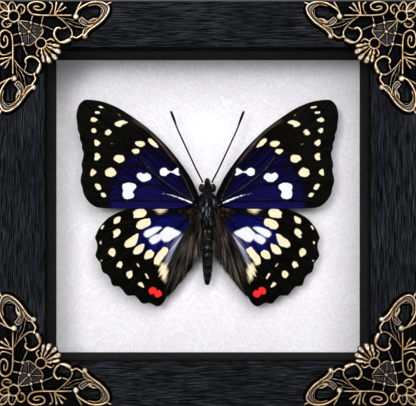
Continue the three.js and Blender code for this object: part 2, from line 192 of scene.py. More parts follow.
def ease(tree, value, low, high, to_low=0.0, to_high=1.0):
    """Maps a value from low..high to to_low..to_high with soft ends."""
    return add(tree, "MapRange", {0: value, 1: low, 2: high, 3: to_low, 4: to_high},
               interpolation_type="SMOOTHSTEP").outputs[0]


def calculate(tree, operation, first, second):
    """One sum, product or difference of two values."""
    return add(tree, "Math", {0: first, 1: second}, operation=operation).outputs[0]


def grain(tree, scale, stretch=(1, 1, 1), detail=4.0, roughness=0.6, vector=None):
    """Noise with features 1/scale metres apart, stretched along an axis by a small number."""
    place = vector or add(tree, "TexCoord").outputs["Object"]
    turned = add(tree, "Mapping", {"Vector": place, "Scale": stretch}).outputs[0]
    return add(tree, "TexNoise", {"Vector": turned, "Scale": scale, "Detail": detail,
                                  "Roughness": roughness}).outputs["Fac"]


def dress(name, material):
    """Puts a material on a solid that keeps its own mesh."""
    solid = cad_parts[name]
    solid.data.materials.clear()
    solid.data.materials.append(material)


# %% [markdown]
# ### Black wood
#
# The rails are a straight-grained wood, brushed along the grain, stained black and left dull. The
# stain fills the pores, so the grain shows as fine grey strokes with open black pores between them.
# The texture is squeezed across the rail and drawn out along it, and the strokes sway a little. The
# corners under the castings are painted a plain and deeper black, as painted shade of the castings.

# %% Brushed black wood
GRAIN_STRETCH = 0.035
PAINTED_CORNER_SHADE = (0.031, 0.037)     # where the painted corner shade fades out: metres across plus metres up


def black_wood(name, along):
    """Stained wood with its grain along the X or Z axis."""
    material, tree, shader = start_material(name, Roughness=0.5, Specular_IOR_Level=0.01)
    stretch = (GRAIN_STRETCH, 1, 1) if along == "X" else (1, 1, GRAIN_STRETCH)
    place = add(tree, "TexCoord").outputs["Object"]
    sway = add(tree, "TexNoise", {"Vector": place, "Scale": 80.0, "Detail": 2.0}).outputs["Color"]
    swayed = add(tree, "Mix", {0: 0.0003, 4: place, 5: sway}, data_type="VECTOR").outputs[1]
    lines = grain(tree, 5200, stretch, detail=3.0, roughness=0.65, vector=swayed)
    pores = grain(tree, 3300, stretch, detail=2.0, roughness=0.5, vector=swayed)
    mottle = grain(tree, 90, detail=3.0)
    colour = blend_colours(tree, ease(tree, lines, 0.41, 0.69), linear("060607"), linear("373a40"))
    colour = blend_colours(tree, ease(tree, pores, 0.34, 0.46, 0.85, 0.0), colour, linear("010102"))
    colour = blend_colours(tree, ease(tree, mottle, 0.4, 0.7, 0.0, 0.5), colour, linear("0f1012"))
    across, _, up = add(tree, "SeparateXYZ", {0: place}).outputs
    beside = calculate(tree, "SUBTRACT", FRAME_HALF_WIDTH * MM,
                       calculate(tree, "ABSOLUTE", across, 0))
    above = calculate(tree, "MINIMUM", up, calculate(tree, "SUBTRACT", FRAME_TOP * MM, up))
    # Painted shade: the wood turns a deeper black towards each corner, under the castings.
    corner = ease(tree, calculate(tree, "ADD", beside, above), *PAINTED_CORNER_SHADE, 0.8, 0.0)
    colour = blend_colours(tree, corner, colour, linear("010101"))
    tree.links.new(colour, shader.inputs["Base Color"])
    height = calculate(tree, "ADD", lines, calculate(tree, "MULTIPLY", pores, 0.8))
    bump = add(tree, "Bump", {"Strength": 0.8, "Distance": 0.0002, "Height": height})
    tree.links.new(bump.outputs[0], shader.inputs["Normal"])
    return material


wood_across = black_wood("stained wood, grain across", "X")
wood_upright = black_wood("stained wood, grain upright", "Z")
print("wood:", wood_across.name, "and", wood_upright.name)

# %% [markdown]
# ## Finishing a mesh
#
# Every new piece ends the same way. Its mesh is scaled from millimetres to metres, shaded smooth
# where it is round, given its material, and the solids it stands for are hidden.

# %% Piece helpers
def finish_piece(name, mesh, material, nodes, smooth_angle=40):
    """Makes a piece of a mesh that is drawn in millimetres, in place of the named solids."""
    mesh.transform(Matrix.Scale(MM, 4))
    mesh.materials.clear()
    mesh.materials.append(material)
    piece = bpy.data.objects.new(name, mesh)
    bpy.context.collection.objects.link(piece)
    mesh.shade_smooth()
    if smooth_angle < 180:
        mesh.set_sharp_from_angle(angle=math.radians(smooth_angle))
    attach(piece, "root")
    if nodes:
        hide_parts(*nodes)
    print("%s: %d faces" % (name, len(mesh.polygons)))
    return piece


def to_mesh(bm, name, recalculate=True):
    """Closes a bmesh and returns its mesh."""
    if recalculate:
        bmesh.ops.recalc_face_normals(bm, faces=bm.faces[:])
    mesh = bpy.data.meshes.new(name)
    bm.to_mesh(mesh)
    bm.free()
    return mesh


# %% [markdown]
# ## Rails
#
# A frame rail is a moulding cut at 45 degrees at both ends. It starts as its section, a flat face
# with the step for the glass, which is extruded to the rail's length. Two slanted planes cut the
# mitres, and the long edges are rounded as sandpaper leaves them. The sight edge, which faces the
# opening, is painted matt black, darker than the wood as painted shade in the gap behind the lip.

# %% Four mitred rails
LIP_DEPTH = 4.5
RAIL_WALL = 10.0
MITRE_GAP = 0.06
ARRIS = 0.75
RAIL_SECTION = [(0, 0), (RAIL_FACE, 0), (RAIL_FACE, LIP_DEPTH), (RAIL_WALL, LIP_DEPTH),
                (RAIL_WALL, BACK_Y - FRONT_Y), (0, BACK_Y - FRONT_Y)]
SOFT_EDGES = {(0, 0): ARRIS, (RAIL_FACE, 0): 0.25, (0, BACK_Y - FRONT_Y): ARRIS}


def rail_mesh(name, length):
    """A rail along X with its outer edge on the X axis and its inside towards +Z."""
    bm = bmesh.new()
    section = bm.faces.new([bm.verts.new((-length / 2, FRONT_Y + back, inward))
                            for inward, back in RAIL_SECTION])
    made = bmesh.ops.extrude_face_region(bm, geom=[section])["geom"]
    bmesh.ops.translate(bm, verts=[v for v in made if isinstance(v, bmesh.types.BMVert)],
                        vec=(length, 0, 0))
    for (inward, back), radius in SOFT_EDGES.items():
        long_edges = [e for e in bm.edges if abs(e.verts[0].co.x - e.verts[1].co.x) > length / 2
                      and abs(e.verts[0].co.z - inward) < 0.01
                      and abs(e.verts[0].co.y - FRONT_Y - back) < 0.01]
        bmesh.ops.bevel(bm, geom=long_edges, offset=radius, offset_type="OFFSET", affect="EDGES",
                        segments=4, profile=0.5, material=-1)
    for end in (-1, 1):
        cut = bmesh.ops.bisect_plane(bm, geom=bm.verts[:] + bm.edges[:] + bm.faces[:],
                                     plane_co=(end * (length / 2 - MITRE_GAP), 0, 0),
                                     plane_no=(end, 0, 1), clear_outer=True)
        rim = [e for e in cut["geom_cut"] if isinstance(e, bmesh.types.BMEdge)]
        bmesh.ops.edgeloop_fill(bm, edges=rim)
    return to_mesh(bm, name)


# Matt black for the sight edge: paint, and painted shade of the gap behind the lip.
def matt_paint_and_shade():
    material, tree, shader = start_material("matt black paint", Roughness=0.9,
                                            Specular_IOR_Level=0.02)
    tree.links.new(blend_colours(tree, grain(tree, 900), linear("030303"), linear("0a0a0a")),
                   shader.inputs["Base Color"])
    return material


sight_edge_paint_and_shade = matt_paint_and_shade()
for name, length, x, z, turns, wood in [
        ("frame_rail_bottom", 2 * FRAME_HALF_WIDTH, 0, 0, 0, wood_across),
        ("frame_rail_top", 2 * FRAME_HALF_WIDTH, 0, FRAME_TOP, 2, wood_across),
        ("frame_rail_left", FRAME_TOP, -FRAME_HALF_WIDTH, CENTRE_Z, 1, wood_upright),
        ("frame_rail_right", FRAME_TOP, FRAME_HALF_WIDTH, CENTRE_Z, -1, wood_upright)]:
    mesh = rail_mesh(name, length)
    mesh.transform(Matrix.Translation((x, 0, z)) @ Matrix.Rotation(turns * math.pi / 2, 4, "Y"))
    rail = finish_piece(name.replace("frame_rail", "rail"), mesh, wood, [name])
    rail.data.materials.append(sight_edge_paint_and_shade)
    for face in rail.data.polygons:
        across, up = abs(face.center.x) / MM, abs(face.center.z / MM - CENTRE_Z)
        if min(abs(across - FRAME_HALF_WIDTH + RAIL_FACE), abs(up - CENTRE_Z + RAIL_FACE)) < 0.01:
            face.material_index = 1

# %% [markdown]
# ## Paper, lining, glass and backing
#
# These are flat boards, so their solids are the right shape and only need their finish. The paper
# is a heavy handmade sheet. Its felt side is a fine diagonal weave of pressed fibres, crossed here
# and there by a long white thread.

# %% Handmade paper
def handmade_paper():
    material, tree, shader = start_material("cotton paper, felt finish", Roughness=0.92,
                                            Specular_IOR_Level=0.2)
    place = add(tree, "TexCoord").outputs["Object"]
    bend = add(tree, "TexNoise", {"Vector": place, "Scale": 90.0, "Detail": 2.0}).outputs["Color"]
    bent = add(tree, "Mix", {0: 0.004, 4: place, 5: bend}, data_type="VECTOR").outputs[1]

    def fibres(scale, length, tilt):
        """Noise stretched so many times, in a direction turned by tilt degrees."""
        turned = add(tree, "Mapping", {"Vector": bent, "Rotation": (0, math.radians(tilt), 0),
                                       "Scale": (length, 1, 1)}, vector_type="TEXTURE").outputs[0]
        return add(tree, "TexNoise", {"Vector": turned, "Scale": scale,
                                      "Detail": 1.0}).outputs["Fac"]

    threads, weave = 0.0, 0.0
    for tilt in (25, 65, 140):
        long_ones = ease(tree, fibres(1100.0, 30, tilt), 0.68, 0.76)
        threads = calculate(tree, "ADD", threads, long_ones)
        short_ones = calculate(tree, "MULTIPLY", fibres(2400.0, 3, tilt + 15), 0.33)
        weave = calculate(tree, "ADD", weave, short_ones)
    clouds = grain(tree, 60, detail=3.0)
    height = calculate(tree, "ADD", calculate(tree, "MULTIPLY", threads, 0.25), weave)
    bump = add(tree, "Bump", {"Strength": 0.4, "Distance": 0.0003, "Height": height})
    tree.links.new(bump.outputs[0], shader.inputs["Normal"])
    colour = blend_colours(tree, ease(tree, clouds, 0.35, 0.65), linear("f4f2f6"), linear("f8f7fa"))
    colour = blend_colours(tree, ease(tree, weave, 0.42, 0.58, 0.3, 0.0), colour, linear("cbc6cb"))
    colour = blend_colours(tree, ease(tree, threads, 0.0, 1.0, 0.0, 0.6), colour, linear("fefdfe"))
    tree.links.new(colour, shader.inputs["Base Color"])
    return material


dress("mount_paper", handmade_paper())

# %% [markdown]
# The lining is card wrapped in black paper. It stands between the glass and the sheet, and it is
# matt and nearly black. The glass is a clear pane. It is drawn as a nearly transparent skin, which
# lets the light fall through it evenly, with a slightly blurred surface. The boards behind are plain
# foam and brown hardboard.

# %% Lining, glass and boards
def black_card():
    material, tree, shader = start_material("black paper on card", Roughness=0.9,
                                            Specular_IOR_Level=0.02)
    fibres = grain(tree, 1500, detail=4.0)
    colour = blend_colours(tree, ease(tree, fibres, 0.3, 0.7), linear("151514"), linear("232322"))
    tree.links.new(colour, shader.inputs["Base Color"])
    return material


def clear_glass():
    material, tree, shader = start_material("float glass", Roughness=0.15, Alpha=0.01, IOR=1.5)
    haze = grain(tree, 25, detail=2.0)
    colour = blend_colours(tree, haze, linear("050807"), linear("0b100f"))
    tree.links.new(colour, shader.inputs["Base Color"])
    return material


def plain_board(name, dark, light, scale, stretch=(1, 1, 1)):
    material, tree, shader = start_material(name, Roughness=0.85, Specular_IOR_Level=0.25)
    fleck = grain(tree, scale, stretch, detail=6.0, roughness=0.7)
    colour = blend_colours(tree, ease(tree, fleck, 0.3, 0.7), linear(dark), linear(light))
    tree.links.new(colour, shader.inputs["Base Color"])
    bump = add(tree, "Bump", {"Strength": 0.3, "Distance": 0.0002, "Height": fleck})
    tree.links.new(bump.outputs[0], shader.inputs["Normal"])
    return material


card = black_card()
for side in ("top", "bottom", "left", "right"):
    dress("lining_" + side, card)
dress("glass_pane", clear_glass())
foam = plain_board("expanded polystyrene foam", "e4e2dc", "f3f1ec", 900)
dress("foam_board", foam)
dress("mounting_block", foam)
dress("back_board", plain_board("pressed hardboard", "4d3826", "7a5c3e", 500, (1, 1, 0.3)))
print("boards dressed")

# %% [markdown]
# ## Back hardware
#
# The hanger, its nails and the tabs are thin zinc-plated steel. Plating leaves a fine frosted
# spangle, and handling dulls it in patches.

# %% Zinc-plated steel
def zinc_steel():
    material, tree, shader = start_material("zinc-plated steel", Metallic=1.0)
    spangle = grain(tree, 600, detail=3.0)
    colour = blend_colours(tree, spangle, linear("9a9da0"), linear("c9cccd"))
    tree.links.new(colour, shader.inputs["Base Color"])
    tree.links.new(ease(tree, spangle, 0.3, 0.7, 0.28, 0.5), shader.inputs["Roughness"])
    return material


steel = zinc_steel()
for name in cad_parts:
    if name.startswith(("sawtooth", "hanger_nail", "back_tab")):
        dress(name, steel)
print("hardware dressed")

# %% [markdown]
# ## Smooth lines through a few points
#
# The filigree, the wing outlines, the veins and the spots are all drawn the same way: a few points
# on the shape, joined by a curve that passes through every one of them. The curve between two
# points bends according to their neighbours, which is the Catmull-Rom rule.

# %% Smooth lines
def smooth_line(points, steps=6, closed=False):
    """Points along the smooth curve that passes through the given points."""
    p = np.array(points, float)
    if closed:
        p = np.vstack([p[-1:], p, p[:2]])
    else:
        p = np.vstack([2 * p[:1] - p[1:2], p, 2 * p[-1:] - p[-2:-1]])
    t = np.linspace(0, 1, steps, endpoint=False)[:, None]
    spans = [0.5 * (2 * b + (c - a) * t + (2 * a - 5 * b + 4 * c - d) * t ** 2
                    + (3 * b - a - 3 * c + d) * t ** 3)
             for a, b, c, d in zip(p[:-3], p[1:-2], p[2:-1], p[3:])]
    line = np.vstack(spans)
    return line if closed else np.vstack([line, p[-2:-1]])


print("a ring of 4 points becomes", len(smooth_line([(1, 0), (0, 1), (-1, 0), (0, -1)], 6, True)))

# %% [markdown]
# ## Filigree corners
#
# The corners are thin castings of a white metal, plated with brass, blackened and then rubbed, so
# that the hollows stay dark and the ridges shine. Each strand here is a round rod that follows a
# curve and changes its width on the way, with two wider rods below it that carry it down to the
# base. Beads and rings are added as balls and closed rods. A voxel remesh then melts everything
# into one skin, which rounds the joints as molten metal does.
#
# The drawing is a square with the frame's corner at its origin. A strand is its points, its widths
# at the start, the middle and the end, and the height of its ridge. All strands come in pairs,
# mirrored about the diagonal.

# %% Strands of the filigree
STRANDS = [
    # corner leaf, open leaf beside it, and the hook beyond
    ([(3.6, 3.4), (3.0, 1.9), (2.1, 0.8), (1.1, 0.4), (0.4, 0.4)], (0.7, 0.75, 0.7), 1.4),
    ([(3.7, 3.4), (3.4, 2.0), (3.8, 0.8), (4.6, 0.35), (5.3, 0.95), (5.8, 1.95), (6.0, 2.8),
      (5.6, 3.4)], (0.6, 0.7, 0.65), 1.4),
    ([(6.1, 3.0), (6.3, 2.2), (6.8, 1.5), (7.5, 1.2), (8.4, 1.7), (8.8, 2.6), (8.5, 3.6),
      (8.0, 4.1), (7.5, 4.3)], (0.6, 0.75, 0.55), 1.4),
    # spiral, and the bar that runs out of it
    ([(13.5, 2.0), (12.6, 1.8), (11.7, 2.2), (12.2, 2.8), (13.4, 3.1), (14.6, 2.9), (15.4, 2.1),
      (15.3, 1.2), (14.2, 0.5), (12.5, 0.3), (11.0, 0.6), (10.0, 1.4), (9.8, 2.5), (10.2, 3.4),
      (11.0, 4.2), (12.4, 4.6), (14.7, 4.8), (18.7, 4.8), (24.2, 4.8)], (0.6, 0.75, 0.6), 1.45),
    # fan of rays with heavy heads
    ([(16.9, 4.5), (17.5, 3.4), (17.9, 2.2), (17.8, 1.0), (17.0, 0.4)], (0.35, 0.6, 0.75), 1.2),
    ([(18.7, 4.5), (18.9, 3.0), (19.2, 1.5), (19.3, 0.6)], (0.4, 0.65, 1.0), 1.45),
    ([(19.0, 4.4), (20.0, 2.8), (20.7, 1.6), (21.2, 0.9)], (0.35, 0.6, 1.05), 1.4),
    ([(18.4, 4.2), (19.4, 3.6), (20.5, 3.3), (21.5, 2.7), (22.3, 2.1)], (0.35, 0.5, 0.8), 1.15),
    # lattice
    ([(7.2, 6.5), (10.2, 6.9), (11.6, 7.4), (14.3, 8.1), (15.8, 8.5), (18.0, 9.5)],
     (0.5, 0.45, 0.45), 0.9),
    ([(11.3, 4.9), (10.9, 6.3), (10.8, 8.4), (10.3, 10.1)], (0.55, 0.45, 0.4), 0.9),
    ([(14.9, 5.0), (14.4, 6.6), (14.3, 8.6), (14.8, 9.9), (14.4, 10.9), (13.5, 12.0)],
     (0.55, 0.5, 0.5), 0.95),
    ([(10.6, 9.9), (12.0, 9.9), (14.4, 9.9)], (0.45, 0.45, 0.45), 0.85),
    # spray of petals at the inner corner
    ([(15.7, 13.5), (16.4, 13.1), (17.2, 12.7), (17.9, 12.8), (18.4, 13.4)],
     (0.4, 0.75, 0.55), 1.3),
    ([(15.8, 14.3), (16.8, 14.35), (17.3, 14.35)], (0.4, 0.6, 1.3), 1.35),
    ([(15.9, 15.0), (16.8, 15.4), (17.7, 15.8)], (0.3, 0.6, 1.3), 1.35),
    ([(17.6, 14.6), (18.5, 14.7), (19.2, 14.8), (19.9, 14.95)], (0.4, 1.5, 1.3), 1.45),
    ([(17.8, 16.0), (18.7, 16.3), (19.4, 16.6), (19.9, 16.8)], (0.4, 1.6, 2.0), 1.55),
    # small scroll with its nub, the node, and the link to the knob
    ([(20.6, 9.2), (19.9, 8.9), (19.0, 9.5), (18.5, 10.7), (18.7, 11.8), (19.4, 12.9),
      (20.2, 13.6), (21.2, 14.0)], (0.75, 1.0, 0.6), 1.5),
    ([(21.0, 13.8), (22.1, 13.6), (23.6, 12.9)], (0.8, 1.5, 1.5), 1.55),
    ([(23.6, 12.9), (24.2, 12.0), (25.1, 12.0), (25.8, 12.3), (26.8, 11.9), (27.7, 11.2),
      (28.4, 11.4)], (0.6, 0.8, 0.7), 1.25),
    ([(19.5, 5.2), (21.2, 6.4), (22.7, 7.8), (23.7, 9.0), (24.4, 10.2), (24.5, 12.0)],
     (0.4, 0.55, 0.7), 1.1),
    # crescent: outer rim, inner rim, edge of its broad end, and edge of its stem
    ([(28.5, 11.8), (29.3, 10.8), (30.4, 9.6), (32.1, 8.4), (34.0, 7.0), (35.4, 5.5), (36.4, 3.9),
      (36.7, 2.4), (35.9, 1.2), (34.4, 0.5), (32.6, 0.3), (30.5, 0.6), (28.6, 1.5), (26.8, 2.7),
      (26.0, 3.6), (25.7, 4.6)], (0.7, 0.85, 0.7), 1.5),
    ([(29.9, 1.7), (31.1, 1.35), (32.5, 1.25), (33.7, 1.7), (34.6, 2.6), (34.9, 3.6), (34.2, 5.0),
      (33.2, 6.1), (32.0, 6.9), (30.7, 7.2), (29.5, 6.8), (28.4, 6.0), (27.7, 5.4)],
     (0.35, 0.5, 0.5), 1.25),
    ([(27.7, 5.4), (26.8, 6.4), (27.3, 7.3), (28.2, 7.9), (29.1, 8.2), (30.3, 8.2), (31.6, 7.7)],
     (0.45, 0.5, 0.35), 1.15),
    ([(28.0, 11.2), (28.2, 10.0), (28.9, 9.1), (30.0, 8.6), (31.4, 8.3)], (0.6, 0.5, 0.4), 1.2),
    ([(25.6, 4.6), (26.2, 2.7), (27.6, 0.3)], (0.55, 0.6, 0.6), 1.25),
    ([(36.0, 1.2), (36.7, 0.7), (37.4, 0.5)], (0.75, 0.75, 0.65), 1.3),
    # low leaves behind: under the bar, under the stem, beside the scroll, inside the crescent
    ([(19.8, 5.2), (21.8, 5.8), (23.2, 5.9), (25.0, 6.3)], (0.3, 0.5, 0.4), 0.7),
    ([(21.0, 6.4), (22.7, 6.9), (24.3, 7.9), (26.0, 8.5), (28.6, 8.9)], (0.3, 0.5, 0.4), 0.75),
    ([(23.6, 6.5), (25.4, 7.1), (27.0, 7.6)], (0.3, 0.5, 0.35), 0.6),
    ([(34.0, 2.2), (34.0, 4.3), (33.2, 5.6), (31.4, 5.9), (30.2, 6.9)], (0.4, 0.5, 1.6), 0.6),
    ([(20.4, 9.2), (21.6, 9.0), (22.9, 8.5)], (0.4, 0.8, 0.7), 0.6),
    # midribs inside the leaves
    ([(4.4, 1.3), (4.7, 2.3), (4.9, 3.4)], (0.4, 0.5, 0.4), 0.65),
    ([(7.4, 2.2), (7.6, 3.0), (7.2, 4.2)], (0.4, 0.5, 0.4), 0.65),
]
DIAGONAL_STRANDS = [
    ([(6.6, 6.6), (12.9, 12.9)], (0.5, 0.45, 0.45), 0.95),
    ([(15.5, 15.5), (16.4, 16.4), (17.2, 17.2)], (0.4, 0.5, 0.8), 1.25),
    ([(17.5, 17.5), (18.2, 18.2), (18.9, 18.9)], (0.4, 1.7, 1.8), 1.55),
    ([(1.4, 1.4), (2.4, 2.4), (3.8, 3.8)], (0.4, 0.5, 0.4), 0.7),
]
RINGS = [(5.1, 5.1, 1.85, 0.66, 1.4), (14.1, 14.1, 1.75, 0.55, 1.35)]   # x, y, radius, width, top
BEADS = [(15.2, 8.3, 0.38), (24.3, 11.8, 0.55), (28.7, 11.7, 1.05), (20.6, 9.2, 0.45),
         (5.2, 7.2, 0.42), (6.5, 6.8, 0.42), (25.7, 5.1, 1.2)]
KNOTS = [(10.8, 7.2, 0.64), (14.3, 8.1, 0.76), (7.2, 10.8, 0.64), (8.1, 14.3, 0.76),
         (10.2, 10.2, 0.7)]                                           # where the lattice crosses
KNOT_SHADOW = 0.26
HOLLOWS = [(25.7, 5.1, 0.3, 0.22), (19.4, 16.6, 0.42, 0.3), (18.4, 18.4, 0.36, 0.22),
           (18.6, 14.8, 0.3, 0.2)]                                    # x, y, radius, depth
LATTICE_WEB = 0.55
CRESCENT_WEB = 0.85


def mirrored(rows):
    """Rows that start with x and y, as they are on the other side of the diagonal."""
    return [(y, x, *rest) for x, y, *rest in rows]


WEBS = [
    (STRANDS[21][0][3:13] + STRANDS[22][0], CRESCENT_WEB),
    (STRANDS[22][0][7:] + STRANDS[23][0][1:] + [(32.1, 8.4), (33.6, 6.6)], CRESCENT_WEB),
    (STRANDS[24][0] + STRANDS[21][0][1:4][::-1], CRESCENT_WEB),
]
WEBS += [(mirrored(outline), top) for outline, top in WEBS]
WEBS.append(([(7.4, 6.6), (10.8, 7.2), (14.3, 8.1), (14.8, 9.9), (13.6, 12.0), (12.0, 13.6),
              (9.9, 14.8), (8.1, 14.3), (7.2, 10.8), (6.6, 7.4)], LATTICE_WEB))
print("filigree strands:", 2 * len(STRANDS) + len(DIAGONAL_STRANDS))

# %% [markdown]
# The rods are one curve object with many splines. A spline's radius varies along it, and the
# curve's round bevel turns it into a tube. Each rod stands on a wider and much flatter one, the
# thin flange that a casting keeps along its foot, which the material colours black as patina and as
# painted shade around the strands. Beads and rings are added to the same mesh, and the webs, the
# thin floor that the casting keeps between some strands, are low plates. The knots of the lattice
# are round beads, with a black ring in the crease around each, partly patina and partly painted
# shade. A voxel remesh melts all of it into one skin. Then a few small hollows are pressed into the
# heaviest petals and the round bead, and the underside is pressed flat. The remesh makes many more
# triangles than flat parts need, so a Decimate modifier thins those out again. Each vertex also
# keeps how far inside the nearest strand's edge it lies, which the patina, the painted shade and
# the painted highlight need.

# %% Tubes, and a skin that melts shapes together
def tube_mesh(name, tubes):
    """One mesh of round tubes, each given as points, radii and whether it closes on itself."""
    curve = bpy.data.curves.new(name, "CURVE")
    curve.dimensions = "3D"
    curve.bevel_depth = 1.0
    curve.bevel_resolution = 2
    curve.use_fill_caps = True
    for points, radii, ring in tubes:
        spline = curve.splines.new("POLY")
        spline.points.add(len(points) - 1)
        spline.use_cyclic_u = ring
        for point, place, radius in zip(spline.points, points, radii):
            point.co = (*place, 1)
            point.radius = radius
    rods = bpy.data.objects.new(name, curve)
    bpy.context.collection.objects.link(rods)
    bpy.context.view_layer.update()
    mesh = bpy.data.meshes.new_from_object(rods)
    bpy.data.objects.remove(rods)
    return mesh


def with_modifiers(mesh, *steps):
    """A bmesh of what a mesh becomes under some modifiers, each given as a type and settings."""
    lump = bpy.data.objects.new("lump", mesh)
    bpy.context.collection.objects.link(lump)
    for kind, settings in steps:
        modifier = lump.modifiers.new(kind.lower(), kind)
        for setting, value in settings.items():
            setattr(modifier, setting, value)
    view = bpy.context.evaluated_depsgraph_get()
    bm = bmesh.new()
    bm.from_object(lump, view)
    bpy.data.objects.remove(lump)
    return bm


def melt(mesh, voxel, rounds=2):
    """Joins everything in a mesh into one skin with a voxel remesh, and softens its steps."""
    return with_modifiers(mesh, ("REMESH", {"mode": "VOXEL", "voxel_size": voxel}),
                          ("SMOOTH", {"factor": 0.5, "iterations": rounds}))


# %% Cast one corner
VOXEL = 0.125
CASTING_KEEP = 0.46
corner_low, corner_high = box_mm("corner_ornament_top_left")
CORNER_THICKNESS = corner_high[1] - corner_low[1]
ROD_BASE = 0.05                   # height of the lowest rod of a strand
FOOT_FLARE = 0.2                  # how much wider than the strand that lowest rod is
FOOT_RIM = 0.75                   # width of the thin flange on each side of a strand
FOOT_FLATTEN = 0.22
WEB_SINK = 0.2                    # the webs start this far below the foot
FAR = 9.0                         # stands for a distance that no mask reaches
RIM_LIMIT = -0.3                  # the casting's rim stays this close to its drawing's edge
BROADEST_FLANK = 0.34
BEAD_RISE = 0.75                  # a bead's top stands its radius and this above the foot
BEAD_CLEARANCE = 0.1              # and stays this far below the highest ridge
UNDERCUT = -0.05                  # how far outside every strand a place counts that stays black


def filigree_lines():
    """Every strand and ring of the corner as a smooth line, its radii and its ridge height."""
    pairs = STRANDS + [(mirrored(points), widths, top) for points, widths, top in STRANDS]
    for points, widths, top in pairs + DIAGONAL_STRANDS:
        line = smooth_line(points, 5)
        yield line, np.interp(np.linspace(0, 1, len(line)), [0, 0.5, 1], widths) / 2, top, False
    for x, y, radius, width, top in RINGS:
        angles = np.linspace(0, 2 * math.pi, 24, endpoint=False)
        circle = np.column_stack([x + radius * np.cos(angles), y + radius * np.sin(angles)])
        yield circle, np.full(len(circle), width / 2), top, True


def filigree_balls():
    """Every bead of the corner: its place, its radius and the height of its top."""
    for x, y, radius in BEADS + mirrored(BEADS) + KNOTS:
        yield x, y, radius, min(CORNER_THICKNESS - BEAD_CLEARANCE, radius + BEAD_RISE)


def corner_casting():
    """The mesh of one corner, its foot on the XY plane and its ridges towards +Z."""
    tubes, balls, feet = [], [], []
    for line, radii, top, ring in filigree_lines():
        axis = top - radii
        feet.append((np.column_stack([line, 0 * axis]), radii + FOOT_RIM, ring))
        for share, flare in ((0.0, FOOT_FLARE), (0.5, 0.3 * FOOT_FLARE), (1.0, 0.0)):
            height = ROD_BASE + share * (axis - ROD_BASE)
            tubes.append((np.column_stack([line, height]), radii + flare, ring))
        if not ring:
            balls += [(*line[end], axis[end], radii[end]) for end in (0, -1)]
    for x, y, radius, top in filigree_balls():
        balls += [(x, y, top - radius, radius), (x, y, 0.2, radius * 0.95)]
    bm = bmesh.new()
    bm.from_mesh(tube_mesh("filigree feet", feet))
    bmesh.ops.scale(bm, verts=bm.verts[:], vec=(1, 1, FOOT_FLATTEN))
    bm.from_mesh(tube_mesh("filigree rods", tubes))
    for x, y, height, radius in balls:
        bmesh.ops.create_icosphere(bm, subdivisions=2, radius=radius,
                                   matrix=Matrix.Translation((x, y, height)))
    for outline, top in WEBS:
        floor = bm.faces.new([bm.verts.new((x, y, -WEB_SINK)) for x, y in outline])
        made = bmesh.ops.extrude_face_region(bm, geom=[floor])["geom"]
        bmesh.ops.translate(bm, verts=[v for v in made if isinstance(v, bmesh.types.BMVert)],
                            vec=(0, 0, top + WEB_SINK))
    bm = melt(to_mesh(bm, "filigree before melting"), VOXEL)
    places = np.array([v.co[:] for v in bm.verts])
    for x, y, radius, depth in HOLLOWS + mirrored(HOLLOWS):
        gap = np.hypot(places[:, 0] - x, places[:, 1] - y)
        places[:, 2] -= depth * np.exp(-(gap / radius) ** 2) * (places[:, 2] > 0.5)
    for vert, height in zip(bm.verts, places[:, 2]):
        vert.co = (max(vert.co.x, RIM_LIMIT), max(vert.co.y, RIM_LIMIT), max(height, 0.0))
    solid = to_mesh(bm, "filigree before thinning", recalculate=False)
    bm = with_modifiers(solid, ("DECIMATE", {"ratio": CASTING_KEEP}))
    places = np.array([v.co[:] for v in bm.verts])
    mesh = to_mesh(bm, "filigree", recalculate=False)
    inside, crest = across_strand(places[:, :2])
    store(mesh, "inside", inside)
    store(mesh, "crest", crest)
    return mesh


def across_strand(flat):
    """How far each place lies inside the nearest strand's edge, in millimetres, and the same as a
    share of the way from the edge to the crest."""
    inside = np.full(len(flat), -FAR)
    crest = inside.copy()

    def count(near, depth, radius):
        inside[near] = np.maximum(inside[near], depth)
        crest[near] = np.maximum(crest[near], depth / np.minimum(radius, BROADEST_FLANK))

    for line, radii, _, ring in filigree_lines():
        near = ((flat > line.min(axis=0) - 2) & (flat < line.max(axis=0) + 2)).all(axis=1)
        ends = np.roll(np.arange(len(line)), -1) if ring else np.arange(1, len(line))
        gap, _ = to_segments(flat[near], line[:len(ends)], line[ends])
        closest = np.abs(flat[near][:, None, :] - line[None]).sum(axis=2).argmin(axis=1)
        count(near, radii[closest] - gap, radii[closest])
    for x, y, radius, _ in filigree_balls():
        gap = np.hypot(flat[:, 0] - x, flat[:, 1] - y)
        count(gap < radius, (radius - gap)[gap < radius], radius)
    # Painted shade: a ring around each knot counts as outside the strands and stays black, partly
    # patina.
    for x, y, radius in KNOTS:
        gap = np.hypot(flat[:, 0] - x, flat[:, 1] - y)
        beside = (gap > radius) & (gap < radius + KNOT_SHADOW)
        inside[beside] = np.minimum(inside[beside], UNDERCUT)
        crest[beside] = np.minimum(crest[beside], 0.0)
    return inside, crest


def to_segments(points, starts, ends):
    """The distance from every point to the nearest of some segments, and the place on it."""
    best = np.full(len(points), 1e9)
    place = np.zeros_like(points)
    for a, b in zip(starts, ends):
        along = b - a
        t = np.clip((points - a) @ along / max(along @ along, 1e-9), 0, 1)
        foot = a + t[:, None] * along
        gap = np.linalg.norm(points - foot, axis=1)
        closer = gap < best
        best[closer] = gap[closer]
        place[closer] = foot[closer]
    return best, place


def store(mesh, name, values):
    """Keeps one number per vertex for the material to read."""
    layer = mesh.attributes.new(name, "FLOAT", "POINT")
    layer.data.foreach_set("value", np.asarray(values, np.float32))


casting = corner_casting()
print("casting faces:", len(casting.polygons))
